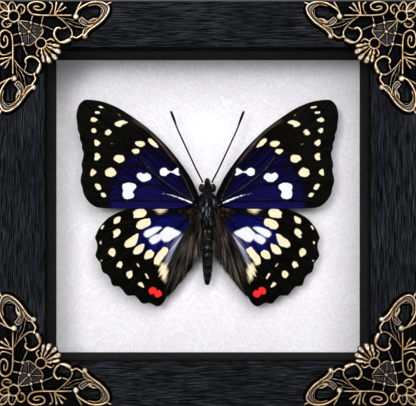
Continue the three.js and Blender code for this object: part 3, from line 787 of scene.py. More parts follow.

# %% [markdown]
# ### Antiqued brass
#
# Brass is a yellow metal with a soft lustre. Here it was blackened in a bath and then rubbed back
# with a cloth, which reaches the ridges and misses the hollows. So a strand is pale gold on its
# crest, orange-brown on its flank and black at its foot, and the webs stay a dull lead grey that
# turns black beside the strands. These tones are partly that patina and partly painted light: the
# crest goes nearly white as a painted highlight, and the black at the feet and beside the strands
# is also painted shade. The pattern reads how high a place is, how far inside the strand's edge it
# lies, and a little noise, so that the edge of the patina wanders.

# %% Antiqued brass
def antique_brass():
    material, tree, shader = start_material("antiqued brass casting", Metallic=0.85,
                                            Specular_IOR_Level=0.02)
    place = add(tree, "TexCoord").outputs["Object"]
    depth = add(tree, "SeparateXYZ", {0: place}).outputs[1]
    smudge = calculate(tree, "SUBTRACT", grain(tree, 800, detail=4.0), 0.5)
    height = calculate(tree, "DIVIDE", calculate(tree, "SUBTRACT", FRONT_Y * MM, depth), MM)
    height = calculate(tree, "ADD", height, calculate(tree, "MULTIPLY", smudge, 0.35))
    inside = add(tree, "Attribute", attribute_name="inside").outputs["Fac"]
    inside = calculate(tree, "ADD", inside, calculate(tree, "MULTIPLY", smudge, 0.12))
    crest = add(tree, "Attribute", attribute_name="crest").outputs["Fac"]
    crest = calculate(tree, "ADD", crest, calculate(tree, "MULTIPLY", smudge, 0.5))
    # Black at the foot and beside the strands: patina and painted shade.
    black = linear("020202")
    web = blend_colours(tree, ease(tree, height, 0.45, 0.9), linear("1c1b1d"), linear("7a777c"))
    web = blend_colours(tree, ease(tree, inside, -0.4, -0.06), web, black)
    web = blend_colours(tree, ease(tree, height, 0.3, 0.45), black, web)
    flank = blend_colours(tree, ease(tree, height, 0.6, 1.35), black, linear("a8722c"))
    # Pale gold going nearly white on the high crest: rubbed brass and a painted highlight.
    top = blend_colours(tree, ease(tree, height, 0.3, 1.0), linear("745f3c"), linear("fff3d6"))
    worn = ease(tree, grain(tree, 500, detail=3.0), 0.45, 0.65, 0.0, 0.7)
    top = blend_colours(tree, worn, top, linear("9a7c46"))
    colour = blend_colours(tree, ease(tree, crest, 0.58, 0.95), flank, top)
    colour = blend_colours(tree, ease(tree, inside, -0.04, 0.03), web, colour)
    tree.links.new(colour, shader.inputs["Base Color"])
    pits = grain(tree, 2600, detail=3.0)
    rough = calculate(tree, "ADD", ease(tree, crest, 0.3, 0.9, 0.45, 0.28),
                      calculate(tree, "MULTIPLY", calculate(tree, "SUBTRACT", pits, 0.5), 0.15))
    tree.links.new(rough, shader.inputs["Roughness"])
    bump = add(tree, "Bump", {"Strength": 0.25, "Distance": 0.00008, "Height": pits})
    tree.links.new(bump.outputs[0], shader.inputs["Normal"])
    return material


SIDE_INSET = 0.4
BOTTOM_INSET = 1.0
brass = antique_brass()
corner_x = FRAME_HALF_WIDTH - SIDE_INSET
for name, x, z, turns in [("bottom_left", -corner_x, BOTTOM_INSET, 0),
                          ("bottom_right", corner_x, BOTTOM_INSET, 1),
                          ("top_right", corner_x, FRAME_TOP - SIDE_INSET, 2),
                          ("top_left", -corner_x, FRAME_TOP - SIDE_INSET, 3)]:
    mesh = casting.copy()
    mesh.transform(Matrix.Translation((x, FRONT_Y, z)) @ Matrix.Rotation(math.pi / 2, 4, "X")
                   @ Matrix.Rotation(turns * math.pi / 2, 4, "Z"))
    finish_piece("corner_" + name, mesh, brass, ["corner_ornament_" + name], 180)

# %% [markdown]
# ## Wings
#
# A butterfly's wing is a dry double membrane, thinner than paper, stretched over stiff veins and
# covered with scales. It is one sheet: the veins stand up from it and the membrane sags a little
# between them. The sheet starts as a fine grid. What lies outside the outline is deleted, and the
# ragged rim is moved onto the outline. The markings are not cut into the sheet. Every vertex knows
# how far it is from the edge of the nearest spot of each colour, and the material draws the edge
# where that distance passes zero, which stays sharp at any size.
#
# Distances are in millimetres from the body's axis, and heights are above the surface the frame
# stands on. All lists draw the right-hand wing.

# %% Outline, veins and spots of the forewing
FOREWING = [(3.0, 71.6), (4.1, 74.3), (5.7, 77.5), (8.0, 81.1), (10.9, 85.0), (14.2, 88.9),
            (17.5, 92.2), (20.7, 95.1), (25.6, 98.7), (30.2, 101.7), (33.8, 103.4), (37.4, 104.6),
            (41.9, 105.1), (43.6, 104.7), (45.0, 103.3), (45.7, 101.2), (45.9, 98.8), (45.6, 96.7),
            (45.5, 95.3), (45.3, 94.1), (44.7, 92.8), (44.7, 91.4), (44.0, 89.5), (44.0, 88.2),
            (43.4, 86.3), (43.7, 84.4), (44.1, 82.2), (43.8, 80.3), (44.3, 78.1), (44.4, 76.1),
            (43.8, 74.1), (43.5, 72.4), (42.6, 70.6), (41.2, 68.9), (39.3, 67.6), (36.6, 67.1),
            (28.9, 66.9), (20.7, 66.9), (14.2, 66.9), (9.3, 67.3), (6.0, 68.2), (3.0, 69.0)]
FOREWING_VEINS = [
    [(4.7, 71.1), (9.6, 79.9), (16.7, 88.4), (23.7, 94.4), (30.1, 98.9), (35.0, 102.8)],
    [(4.7, 70.4), (13.2, 82.0), (19.5, 88.0), (23.4, 90.8), (31.5, 99.3), (41.4, 100.4),
     (45.6, 99.3)],
    [(20.2, 88.7), (29.0, 97.9), (34.3, 103.2)],
    [(28.7, 96.1), (36.4, 102.1), (41.4, 104.9)],
    [(23.4, 90.1), (31.5, 94.7), (45.3, 96.1)],
    [(23.7, 88.0), (31.5, 90.8), (45.3, 92.2)],
    [(23.7, 85.9), (31.5, 86.9), (44.2, 87.7)],
    [(4.7, 69.7), (13.9, 74.6), (20.9, 81.3), (24.1, 85.5), (23.4, 90.1)],
    [(20.9, 81.3), (31.5, 82.0), (44.2, 82.4)],
    [(13.9, 74.6), (23.7, 75.7), (33.6, 76.7), (44.2, 77.1)],
    [(5.0, 69.3), (20.2, 69.5), (36.1, 69.7), (41.7, 69.7)],
]
FOREWING_CREAM = [
    [(38.4, 102.5), (37.8, 102.9), (36.6, 102.7), (36.1, 102.2), (36.6, 102.0), (38.1, 102.2)],
    [(39.7, 100.7), (38.9, 101.0), (37.6, 100.8), (37.4, 100.5), (38.0, 100.0), (39.2, 100.2)],
    [(41.0, 97.7), (40.6, 98.7), (39.4, 98.8), (38.4, 98.0), (39.2, 97.3), (40.1, 97.1)],
    [(40.5, 95.0), (39.7, 95.2), (38.6, 94.1), (39.2, 93.6), (39.8, 93.3), (40.5, 93.8)],
    [(39.6, 90.8), (38.7, 91.0), (37.4, 89.9), (38.0, 89.1), (38.9, 88.8), (39.5, 89.4)],
    [(39.5, 86.2), (38.6, 86.5), (37.4, 85.3), (38.0, 84.2), (38.9, 83.8), (39.8, 84.2),
     (39.4, 85.0)],
    [(40.2, 81.0), (39.5, 80.5), (38.9, 79.6), (40.2, 78.3), (41.0, 78.7), (40.8, 80.2)],
    [(39.0, 75.7), (37.8, 75.4), (37.1, 74.0), (38.0, 73.4), (38.8, 73.8), (39.4, 74.9)],
    [(37.3, 72.2), (36.3, 72.6), (35.3, 71.6), (35.9, 70.9), (36.8, 71.0)],
    [(32.6, 96.6), (31.7, 97.4), (30.2, 97.9), (28.6, 97.6), (27.8, 97.0), (29.2, 96.5),
     (29.9, 96.2), (30.5, 95.5), (32.1, 95.9)],
    [(36.0, 93.4), (35.2, 94.6), (34.4, 94.7), (33.3, 93.7), (34.0, 93.3), (34.1, 92.8),
     (35.0, 92.5), (35.7, 92.9)],
    [(25.5, 89.9), (25.0, 90.5), (23.4, 90.7), (22.0, 90.1), (22.0, 89.2), (23.2, 88.5),
     (24.6, 88.9)],
    [(21.0, 91.1), (20.4, 91.6), (19.2, 91.2), (17.4, 89.1), (17.3, 88.4), (18.3, 88.5),
     (20.0, 89.6)],
    [(26.6, 87.3), (25.7, 87.9), (24.2, 87.8), (23.7, 86.8), (25.0, 86.0), (25.9, 86.3)],
    [(33.0, 84.2), (32.5, 85.3), (31.3, 85.8), (29.6, 85.6), (29.0, 84.4), (29.4, 83.5),
     (30.8, 82.9), (32.1, 83.5)],
    [(35.9, 79.0), (35.7, 80.2), (34.7, 81.1), (33.1, 81.2), (31.9, 79.6), (32.3, 78.6),
     (33.8, 78.0), (35.2, 78.3)],
]
FOREWING_WHITE = [
    [(24.9, 78.6), (24.2, 79.4), (23.3, 79.6), (22.5, 79.1), (21.3, 79.5), (19.9, 78.7),
     (19.7, 77.6), (21.1, 76.5), (22.7, 76.3), (24.1, 77.1)],
    [(29.9, 74.3), (29.6, 75.4), (28.1, 76.0), (26.0, 75.9), (24.8, 74.8), (25.5, 73.5),
     (26.1, 72.8), (25.6, 71.5), (26.3, 70.6), (27.6, 70.2), (29.2, 70.6), (29.9, 72.0),
     (29.6, 73.1)],
    [(16.8, 80.1), (16.0, 81.2), (14.6, 81.3), (13.7, 80.4), (12.3, 80.2), (11.0, 81.2),
     (10.1, 81.1), (10.0, 79.5), (9.5, 78.7), (10.7, 78.6), (12.3, 79.5), (13.6, 79.3),
     (14.6, 78.4), (16.2, 78.6)],
    [(4.9, 68.7), (6.3, 69.7), (9.1, 70.8), (12.0, 71.7), (14.5, 72.2), (17.2, 72.6),
     (12.5, 71.4), (9.1, 70.1), (6.3, 68.9)],
]
FOREWING_FAINT = [
    [(33.8, 90.0), (32.6, 89.6), (32.7, 89.2), (33.7, 89.5)],
    [(31.4, 100.2), (30.8, 100.0), (30.1, 99.4), (30.4, 99.2), (31.0, 99.6)],
    [(28.1, 69.9), (26.5, 69.9), (26.5, 69.6), (28.0, 69.6)],
]
FOREWING_TAN = [
    [(4.7, 69.9), (5.9, 72.4), (7.8, 76.8), (9.4, 80.0), (10.8, 82.5), (12.8, 85.3), (15.1, 88.2),
     (18.2, 91.3), (21.7, 94.5), (25.1, 97.0)],
    [(4.7, 69.7), (7.5, 71.2), (10.7, 73.1), (13.2, 74.9), (16.9, 77.8), (20.1, 80.6),
     (22.0, 82.8), (23.6, 85.0)],
]
FOREWING_DASHES = [[(44.3, 97.9), (45.5, 97.9)], [(43.9, 94.5), (45.0, 94.5)],
                   [(43.2, 90.0), (44.2, 90.0)], [(42.5, 86.3), (43.5, 86.3)],
                   [(42.8, 80.3), (43.8, 80.3)], [(40.6, 72.0), (42.0, 72.3)]]
FOREWING_COSTA = [(25.8, 97.9), (20.6, 94.5), (15.4, 88.7), (11.7, 83.9)]
FOREWING_BLUE = [(5.4, 70.4), (6.4, 72.6), (8.3, 76.6), (10.0, 79.8), (11.6, 82.3), (13.9, 85.1),
                 (16.4, 87.5), (19.5, 88.4), (23.6, 87.0), (27.5, 84.2), (29.6, 81.0),
                 (32.0, 77.1), (33.4, 73.0), (33.4, 70.0), (31.0, 66.0), (6.1, 66.0)]
print("forewing spots:", len(FOREWING_CREAM) + len(FOREWING_WHITE))

# %% Outline, veins and spots of the hindwing
HINDWING = [(2.6, 64.6), (3.4, 67.2), (5.4, 69.0), (9.0, 70.3), (17.0, 71.2), (24.0, 69.4),
            (28.2, 67.0), (31.1, 65.7), (34.1, 64.2), (36.4, 62.2), (38.2, 59.8), (39.0, 58.1),
            (39.5, 56.6),
            (38.9, 55.1), (38.7, 53.1), (39.2, 51.3), (39.3, 50.2), (38.6, 49.0), (37.6, 47.8),
            (37.3, 46.1), (36.7, 44.6), (35.2, 43.7), (34.2, 42.3), (33.5, 40.2), (32.6, 39.7),
            (31.1, 39.5), (29.7, 38.2), (28.5, 36.6), (27.3, 36.3), (25.6, 36.3), (24.4, 35.2),
            (23.2, 33.8), (22.1, 33.5), (20.6, 33.8), (19.2, 33.2), (17.7, 32.5), (16.2, 33.1),
            (15.1, 34.4), (14.2, 36.1), (12.6, 37.3), (10.7, 39.6), (8.3, 42.6), (5.7, 46.1),
            (3.6, 49.3), (2.4, 51.8), (1.85, 54.2), (1.8, 58.0), (2.0, 61.5)]
HINDWING_VEINS = [
    [(4.7, 66.5), (14.9, 67.7), (25.5, 67.2), (36.1, 62.6)],
    [(5.4, 65.8), (14.9, 65.4), (23.0, 63.7), (31.9, 60.5), (38.6, 59.3)],
    [(16.7, 63.7), (24.8, 59.1), (32.6, 54.8), (39.1, 52.4)],
    [(14.6, 61.2), (20.2, 58.0), (25.1, 53.4), (32.2, 49.2), (37.5, 46.4)],
    [(13.9, 59.8), (20.2, 55.9), (22.5, 50.3), (29.0, 45.1), (34.3, 41.1)],
    [(11.0, 60.1), (16.7, 54.1), (20.9, 46.7), (25.3, 41.8), (29.4, 37.2)],
    [(5.4, 65.1), (9.6, 60.8), (13.9, 52.4), (16.7, 47.1), (20.6, 40.0), (24.4, 35.1)],
    [(4.3, 64.0), (8.6, 57.3), (12.5, 48.1), (14.9, 40.7), (18.8, 33.3)],
    [(3.6, 63.0), (5.7, 54.1), (8.6, 45.3), (13.9, 37.2)],
]
HINDWING_CREAM = [
    [(26.3, 65.5), (25.5, 66.3), (24.5, 66.9), (22.7, 67.1), (21.8, 66.4), (21.3, 65.5),
     (21.7, 64.6), (22.5, 63.9), (25.0, 63.6), (26.1, 63.8), (25.9, 64.5)],
    [(25.1, 60.9), (24.6, 62.2), (23.1, 63.1), (20.8, 63.6), (20.2, 63.4), (19.9, 61.4),
     (21.2, 60.5), (22.5, 59.8), (23.8, 59.6), (24.8, 60.2)],
    [(29.2, 54.5), (28.5, 55.8), (26.8, 57.0), (24.7, 58.3), (24.1, 58.0), (24.5, 55.9),
     (25.1, 54.4), (26.1, 53.6), (27.9, 53.2), (29.0, 53.6)],
    [(26.1, 51.1), (25.9, 52.4), (25.0, 53.6), (23.6, 54.4), (22.2, 54.5), (22.5, 52.6),
     (23.3, 51.4), (24.7, 50.8)],
    [(22.3, 49.7), (22.0, 50.9), (21.2, 52.1), (19.8, 52.5), (18.7, 51.4), (19.0, 50.3),
     (20.0, 49.5), (21.6, 49.1)],
    [(18.8, 48.9), (18.1, 50.5), (16.5, 52.4), (15.4, 53.6), (13.7, 52.8), (13.8, 51.9),
     (15.1, 49.9), (16.3, 48.4), (17.1, 46.8), (17.6, 47.2), (18.7, 47.3)],
    [(33.0, 62.4), (32.5, 63.6), (30.7, 64.4), (30.4, 63.6), (30.8, 62.4), (31.8, 61.6),
     (32.7, 61.6)],
    [(33.3, 58.4), (32.7, 59.3), (31.4, 60.0), (30.7, 59.6), (30.5, 58.4), (31.3, 57.4),
     (32.5, 56.6), (33.2, 56.9), (32.9, 57.7)],
    [(34.7, 51.0), (34.6, 52.4), (33.3, 53.1), (32.4, 52.4), (32.2, 51.2), (32.6, 50.3),
     (33.3, 49.9), (33.9, 50.5)],
    [(31.9, 47.2), (31.3, 48.2), (30.5, 48.5), (29.8, 47.8), (29.9, 46.8), (30.6, 45.9),
     (31.3, 46.4), (31.9, 46.3)],
    [(28.6, 44.0), (27.8, 45.0), (26.5, 45.1), (26.2, 43.8), (26.6, 42.8), (27.5, 42.4),
     (28.3, 43.1)],
    [(24.5, 40.6), (23.3, 41.2), (22.6, 40.4), (22.2, 39.2), (23.1, 39.4), (24.0, 39.9)],
    [(22.1, 44.0), (21.3, 44.1), (20.6, 42.6), (20.8, 42.2), (21.4, 42.5)],
    [(24.9, 47.6), (24.4, 47.7), (23.8, 46.5), (24.1, 46.4), (24.8, 47.1)],
    [(37.5, 59.8), (37.0, 60.9), (36.0, 61.3), (36.3, 60.5), (36.8, 59.6)],
    [(38.0, 55.1), (37.2, 55.7), (37.0, 55.1), (37.4, 54.3)],
    [(37.5, 48.7), (37.1, 49.1), (36.8, 48.6), (37.2, 48.2)],
]
HINDWING_SOFT_CREAM = [
    [(16.2, 47.9), (14.4, 46.9), (13.9, 43.9), (15.0, 41.0), (16.3, 43.2), (17.0, 46.0)],
    [(18.6, 67.6), (14.8, 67.8), (14.3, 66.7), (16.2, 65.5), (17.6, 66.0)],
]
HINDWING_RED = [
    [(20.8, 37.5), (20.5, 38.7), (19.3, 39.5), (18.1, 39.1), (17.8, 38.3), (16.7, 38.4),
     (16.0, 37.4), (16.0, 36.4), (17.2, 35.7), (18.3, 35.9), (19.0, 36.9), (20.0, 36.7)],
]
HINDWING_WHITE = [
    [(22.5, 58.3), (21.6, 59.3), (20.0, 60.0), (18.1, 60.6), (16.3, 60.6), (16.1, 59.9),
     (17.4, 58.8), (18.8, 57.8), (20.7, 56.8), (22.0, 56.9)],
    [(17.1, 57.8), (15.8, 59.6), (13.9, 60.7), (11.4, 59.7), (9.3, 58.5), (11.5, 56.6),
     (14.7, 55.1), (16.3, 56.3)],
    [(20.7, 56.0), (19.3, 57.3), (17.2, 58.1), (16.2, 56.6), (17.6, 55.1), (19.2, 54.3),
     (20.1, 54.9)],
]
HINDWING_SILVER = [
    [(8.4, 57.6), (9.5, 55.2), (11.8, 51.8), (13.4, 48.4), (14.3, 46.4), (15.2, 47.8),
     (13.2, 53.1), (10.6, 56.6)],
]
HINDWING_BLUE = [(24.1, 57.7), (20.2, 62.3), (19.5, 63.8), (13.9, 64.2), (8.2, 64.2),
                 (6.1, 63.0), (7.5, 58.7), (9.6, 55.6), (12.5, 52.4), (14.6, 50.3), (17.7, 51.7),
                 (20.2, 51.7), (22.2, 52.4), (22.3, 54.5), (24.1, 54.8)]
HINDWING_HAIR = [(3.6, 63.0), (1.5, 53.8), (2.9, 49.9), (6.1, 45.3), (10.3, 40.0), (13.9, 35.8),
                 (14.2, 40.0), (12.8, 47.4), (10.7, 53.8), (7.5, 59.4)]
print("hindwing spots:", len(HINDWING_CREAM) + len(HINDWING_WHITE) + 1)

# %% Distances to outlines and lines
def signed_distance(points, loop):
    """The distance to a closed loop, positive inside it."""
    starts, ends = loop, np.roll(loop, -1, axis=0)
    gap, _ = to_segments(points, starts, ends)
    inside = np.zeros(len(points), bool)
    for (ax, ay), (bx, by) in zip(starts, ends):
        if ay == by:
            continue
        spans = (points[:, 1] < ay) != (points[:, 1] < by)
        inside ^= spans & (points[:, 0] < ax + (points[:, 1] - ay) * (bx - ax) / (by - ay))
    return np.where(inside, gap, -gap)


def spots_distance(points, spots, steps=5):
    """The distance to the edge of the nearest of several spots, positive inside one."""
    if not spots:
        return np.full(len(points), -FAR)
    fields = [signed_distance(points, smooth_line(spot, steps, closed=True)) for spot in spots]
    return np.max(fields, axis=0)


def lines_distance(points, lines):
    """The distance to the nearest of several open lines."""
    fields = []
    for line in lines:
        smooth = smooth_line(line, 5)
        fields.append(to_segments(points, smooth[:-1], smooth[1:])[0])
    return np.min(fields, axis=0)


print("a point 1 mm inside a 4 mm square:",
      signed_distance(np.array([[1.0, 2.0]]), np.array([[0, 0], [4, 0], [4, 4], [0, 4.0]])))

# %% [markdown]
# The sheet's relief is small but it is what makes a wing look like a wing: each vein is a ridge a
# tenth of a millimetre high, the membrane sags between the veins, and the whole blade rises a
# little towards its tip and curls down along its hind edge.

# %% Build a wing sheet
GRID_CELL = 0.3
MEMBRANE = 0.1
WING_LIFT = math.tan(math.radians(2.5))
WING_LENGTH = 46
WING_BOW = 0.35
VEIN_RIDGE, VEIN_SPREAD = 0.13, 0.22
SAG_DEPTH, SAG_SPREAD = 0.22, 1.3
CURL_DEPTH, CURL_SPREAD = 0.25, 1.2


def sheet_bmesh(outline):
    """A fine flat grid cut to an outline, in the XY plane."""
    loop = smooth_line(outline, 6, closed=True)
    low = loop.min(axis=0) - GRID_CELL
    cells = np.ceil((loop.max(axis=0) + GRID_CELL - low) / GRID_CELL).astype(int)
    bm = bmesh.new()
    bmesh.ops.create_grid(bm, x_segments=int(cells[0]), y_segments=int(cells[1]), size=0.5)
    corner = Vector(min((v.co for v in bm.verts), key=lambda co: co.x + co.y))
    reach = max(v.co.x for v in bm.verts) - corner.x
    bmesh.ops.translate(bm, verts=bm.verts[:], vec=-corner)
    bmesh.ops.scale(bm, verts=bm.verts[:], vec=(cells[0] * GRID_CELL / reach,
                                                cells[1] * GRID_CELL / reach, 1))
    bmesh.ops.translate(bm, verts=bm.verts[:], vec=(low[0], low[1], 0))
    flat = np.array([v.co.xy for v in bm.verts])
    inside = signed_distance(flat, loop)
    bmesh.ops.delete(bm, geom=[v for v, d in zip(bm.verts, inside) if d < 0.02], context="VERTS")
    bmesh.ops.delete(bm, geom=[v for v in bm.verts if not v.link_faces], context="VERTS")
    rim = [v for v in bm.verts if v.is_boundary]
    _, feet = to_segments(np.array([v.co.xy for v in rim]), loop, np.roll(loop, -1, axis=0))
    for vert, foot in zip(rim, feet):
        vert.co.xy = foot
    return bm


def relief(points, outline, veins):
    """The height of a wing's surface above the wing plane."""
    vein_gap = lines_distance(points, veins)
    edge_gap = signed_distance(points, smooth_line(outline, 6, closed=True))
    ridge = VEIN_RIDGE * np.exp(-(vein_gap / VEIN_SPREAD) ** 2)
    sag = -SAG_DEPTH * (1 - np.exp(-(vein_gap / SAG_SPREAD) ** 2))
    lift = WING_LIFT * points[:, 0] + WING_BOW * np.sin(points[:, 0] / WING_LENGTH * math.pi)
    curl = -CURL_DEPTH * np.exp(-(edge_gap / CURL_SPREAD) ** 2)
    return lift + ridge + sag + curl


def wing_mesh(name, outline, veins, side, drop):
    """A wing's mesh in place, with its flat coordinates kept for the markings."""
    bm = sheet_bmesh(outline)
    flat = np.array([v.co.xy for v in bm.verts])
    for vert, z in zip(bm.verts, relief(flat, outline, veins) - drop):
        vert.co.z = z
    bmesh.ops.solidify(bm, geom=bm.faces[:], thickness=MEMBRANE)
    mesh = to_mesh(bm, name)
    flat = np.array([v.co.xy for v in mesh.vertices])
    place = Matrix(((side, 0, 0, BODY_X), (0, 0, -1, WING_Y), (0, 1, 0, 0), (0, 0, 0, 1)))
    mesh.transform(place)
    if side > 0:
        mesh.flip_normals()
    return mesh, flat


def store_fan(mesh, flat, root):
    """Keeps each vertex's direction and distance from the wing root, for streaks that fan out."""
    arm = flat - np.array(root)
    angle = np.arctan2(arm[:, 1], arm[:, 0])
    fan = np.column_stack([angle, np.linalg.norm(arm, axis=1) / 400, np.zeros(len(arm))])
    layer = mesh.attributes.new("fan", "FLOAT_VECTOR", "POINT")
    layer.data.foreach_set("vector", fan.astype(np.float32).ravel())
    store(mesh, "reach", np.linalg.norm(arm, axis=1))


# %% [markdown]
# ### Wing scales
#
# A wing's colour is a mosaic of overlapping scales. Dark scales are a brown-black pigment and look
# matt. The blue of a male comes from ridges on the scales that mirror blue light, so it glows and
# shifts; here it is a plain colour, made lighter in a few zones as a painted sheen. White and cream
# scales are matt and bright. All of them lie in rows that fan out from the wing root, so every
# colour is broken up by fine streaks in that direction, and the edge of a spot is slightly ragged.

# %% Wing scale material
def wing_scales(name, blue_dark, blue_light, hindwing):
    """Scales in all the colours of one wing. The masks come from the mesh."""
    material, tree, shader = start_material(name, Roughness=0.6, Specular_IOR_Level=0.0)

    def field(layer):
        return add(tree, "Attribute", attribute_name=layer).outputs["Fac"]

    fan = add(tree, "Attribute", attribute_name="fan").outputs["Vector"]
    streaks = grain(tree, 60, (1, 0.35, 1), detail=4.0, roughness=0.65, vector=fan)
    strokes = grain(tree, 75, (1, 0.5, 1), detail=2.0, roughness=0.5, vector=fan)
    fine = grain(tree, 150, (1, 0.5, 1), detail=3.0, roughness=0.7, vector=fan)
    ragged = calculate(tree, "MULTIPLY", calculate(tree, "SUBTRACT",
                                                   grain(tree, 1500, detail=2.0), 0.5), 0.7)
    clouds = grain(tree, 140, detail=3.0)

    def mask(layer, low=0.03, high=0.17):
        """A crisp spot with a slightly ragged edge."""
        return ease(tree, calculate(tree, "ADD", field(layer), ragged), low, high)

    def feathered(layer, reach, low, high):
        """A spot whose edge breaks up into streaks along the fan."""
        torn = calculate(tree, "MULTIPLY", calculate(tree, "SUBTRACT", strokes, 0.5), reach)
        return ease(tree, calculate(tree, "ADD", field(layer), torn), low, high)

    colour = blend_colours(tree, ease(tree, streaks, 0.42, 0.7), linear("010100"), linear("090805"))
    pale_rays = calculate(tree, "MULTIPLY", ease(tree, strokes, 0.58, 0.72, 0.0, 0.6),
                          ease(tree, clouds, 0.45, 0.65))
    colour = blend_colours(tree, pale_rays, colour, linear("2c251c"))
    strip = calculate(tree, "MULTIPLY", ease(tree, field("costa"), 0.0, 0.9, 0.75, 0.0),
                      ease(tree, strokes, 0.35, 0.6, 0.2, 1.0))
    colour = blend_colours(tree, strip, colour, linear("4b4138"))
    margin = calculate(tree, "MULTIPLY", ease(tree, field("reach"), 32, 44, 0.0, 0.8),
                       ease(tree, streaks, 0.35, 0.65))
    colour = blend_colours(tree, margin, colour, linear("0e0f0a"))
    # The blue turns lighter where the painted sheen lies.
    shine = calculate(tree, "ADD", field("painted_blue_sheen"), ease(tree, strokes, 0.3, 0.7, -0.4, 0.5))
    blue = blend_colours(tree, shine, linear(blue_dark), linear(blue_light))
    blue_share = calculate(tree, "MULTIPLY", feathered("blue", 5.0, -1.6, 1.3),
                           ease(tree, field("vein"), 0.1, 0.8, 0.2, 1))
    colour = blend_colours(tree, blue_share, colour, blue)
    if hindwing:
        felt = blend_colours(tree, ease(tree, strokes, 0.35, 0.65), linear("100d0a"),
                             linear("3d352b"))
        colour = blend_colours(tree, ease(tree, field("hair"), -1.0, 1.0), colour, felt)
    vein_line = ease(tree, field("vein"), 0.1, 0.26, 0.9, 0.0)
    vein_tone = blend_colours(tree, ease(tree, field("blue"), -1.0, 0.5), linear("0d0b08"),
                              linear("020203"))
    colour = blend_colours(tree, vein_line, colour, vein_tone)
    tan_line = calculate(tree, "MULTIPLY", ease(tree, field("tan"), 0.0, 0.15, 0.8, 0.0),
                         ease(tree, grain(tree, 900, detail=3.0), 0.4, 0.62, 0.15, 1.0))
    colour = blend_colours(tree, tan_line, colour, linear("87754f"))
    colour = blend_colours(tree, mask("faint"), colour, linear("7d6f57"))
    if hindwing:
        colour = blend_colours(tree, feathered("silver", 9.0, -0.6, 1.8), colour, linear("a9acc8"))
        colour = blend_colours(tree, feathered("soft", 3.4, -0.6, 0.8), colour, linear("efe2ba"))
    cream = blend_colours(tree, ease(tree, strokes, 0.35, 0.65), linear("f0e6c6"),
                          linear("eaddb2"))
    colour = blend_colours(tree, mask("cream"), colour, cream)
    white = blend_colours(tree, ease(tree, strokes, 0.3, 0.7), linear("eeeef2"), linear("e2e3ea"))
    torn_white = feathered("white", 1.6, -0.1, 0.4) if hindwing else mask("white")
    colour = blend_colours(tree, torn_white, colour, white)
    if hindwing:
        colour = blend_colours(tree, mask("red"), colour, linear("f02c2c"))
    tree.links.new(colour, shader.inputs["Base Color"])
    height = calculate(tree, "ADD", fine, calculate(tree, "MULTIPLY", streaks, 0.6))
    bump = add(tree, "Bump", {"Strength": 0.5, "Distance": 0.00015, "Height": height})
    tree.links.new(bump.outputs[0], shader.inputs["Normal"])
    return material


forewing_scales = wing_scales("forewing scales", "010109", "140f52", False)
hindwing_scales = wing_scales("hindwing scales", "020218", "12167e", True)

# %% Four wings
WING_ROOT = (1.5, 67.0)
HINDWING_DROP = 0.75

for word, side in (("left", -1), ("right", 1)):
    mesh, flat = wing_mesh("forewing_" + word, FOREWING, FOREWING_VEINS, side, 0.0)
    store(mesh, "vein", lines_distance(flat, FOREWING_VEINS))
    store(mesh, "cream", spots_distance(flat, FOREWING_CREAM))
    store(mesh, "white", spots_distance(flat, FOREWING_WHITE))
    store(mesh, "faint", spots_distance(flat, FOREWING_FAINT))
    store(mesh, "tan", np.minimum(lines_distance(flat, FOREWING_TAN),
                                  lines_distance(flat, FOREWING_DASHES) + 0.05))
    store(mesh, "costa", lines_distance(flat, [FOREWING_COSTA]))
    # Painted sheen: the blue is lighter along the hind edge and in one patch.
    store(mesh, "painted_blue_sheen", 0.15 + 0.6 * np.exp(-((flat[:, 1] - 67.5) / 3.2) ** 2)
          + 0.35 * np.exp(-((flat[:, 0] - 23) / 9) ** 2 - ((flat[:, 1] - 75) / 5) ** 2))
    store(mesh, "blue", spots_distance(flat, [FOREWING_BLUE]))
    store_fan(mesh, flat, WING_ROOT)
    finish_piece("wing_fore_" + word, mesh, forewing_scales, ["forewing_" + word],
                 180)

    mesh, flat = wing_mesh("hindwing_" + word, HINDWING, HINDWING_VEINS, side, HINDWING_DROP)
    store(mesh, "vein", lines_distance(flat, HINDWING_VEINS))
    store(mesh, "cream", spots_distance(flat, HINDWING_CREAM))
    store(mesh, "white", spots_distance(flat, HINDWING_WHITE))
    store(mesh, "faint", np.full(len(flat), -FAR))
    store(mesh, "tan", np.full(len(flat), FAR))
    store(mesh, "costa", np.full(len(flat), FAR))
    # Painted sheen: the blue is lighter in one patch.
    store(mesh, "painted_blue_sheen", 0.1 + 0.6 * np.exp(-((flat[:, 0] - 17) / 6) ** 2
                                           - ((flat[:, 1] - 57) / 5) ** 2))
    store(mesh, "soft", spots_distance(flat, HINDWING_SOFT_CREAM))
    store(mesh, "silver", spots_distance(flat, HINDWING_SILVER))
    store(mesh, "red", spots_distance(flat, HINDWING_RED))
    store(mesh, "blue", spots_distance(flat, [HINDWING_BLUE]))
    store(mesh, "hair", spots_distance(flat, [HINDWING_HAIR]))
    store_fan(mesh, flat, WING_ROOT)
    finish_piece("wing_hind_" + word, mesh, hindwing_scales, ["hindwing_" + word],
                 180)

# %% [markdown]
# ## Hairs
#
# Hairs are made in bulk. Each is a thin three-sided spike, and all the spikes of one patch are
# one mesh; only the long hairs on the flanks droop towards their tips. Hairs grow out of the
# surface and lie back along the body, as they were combed in life. Each one has a tone that its
# neighbours share, so that they clump into streaks.

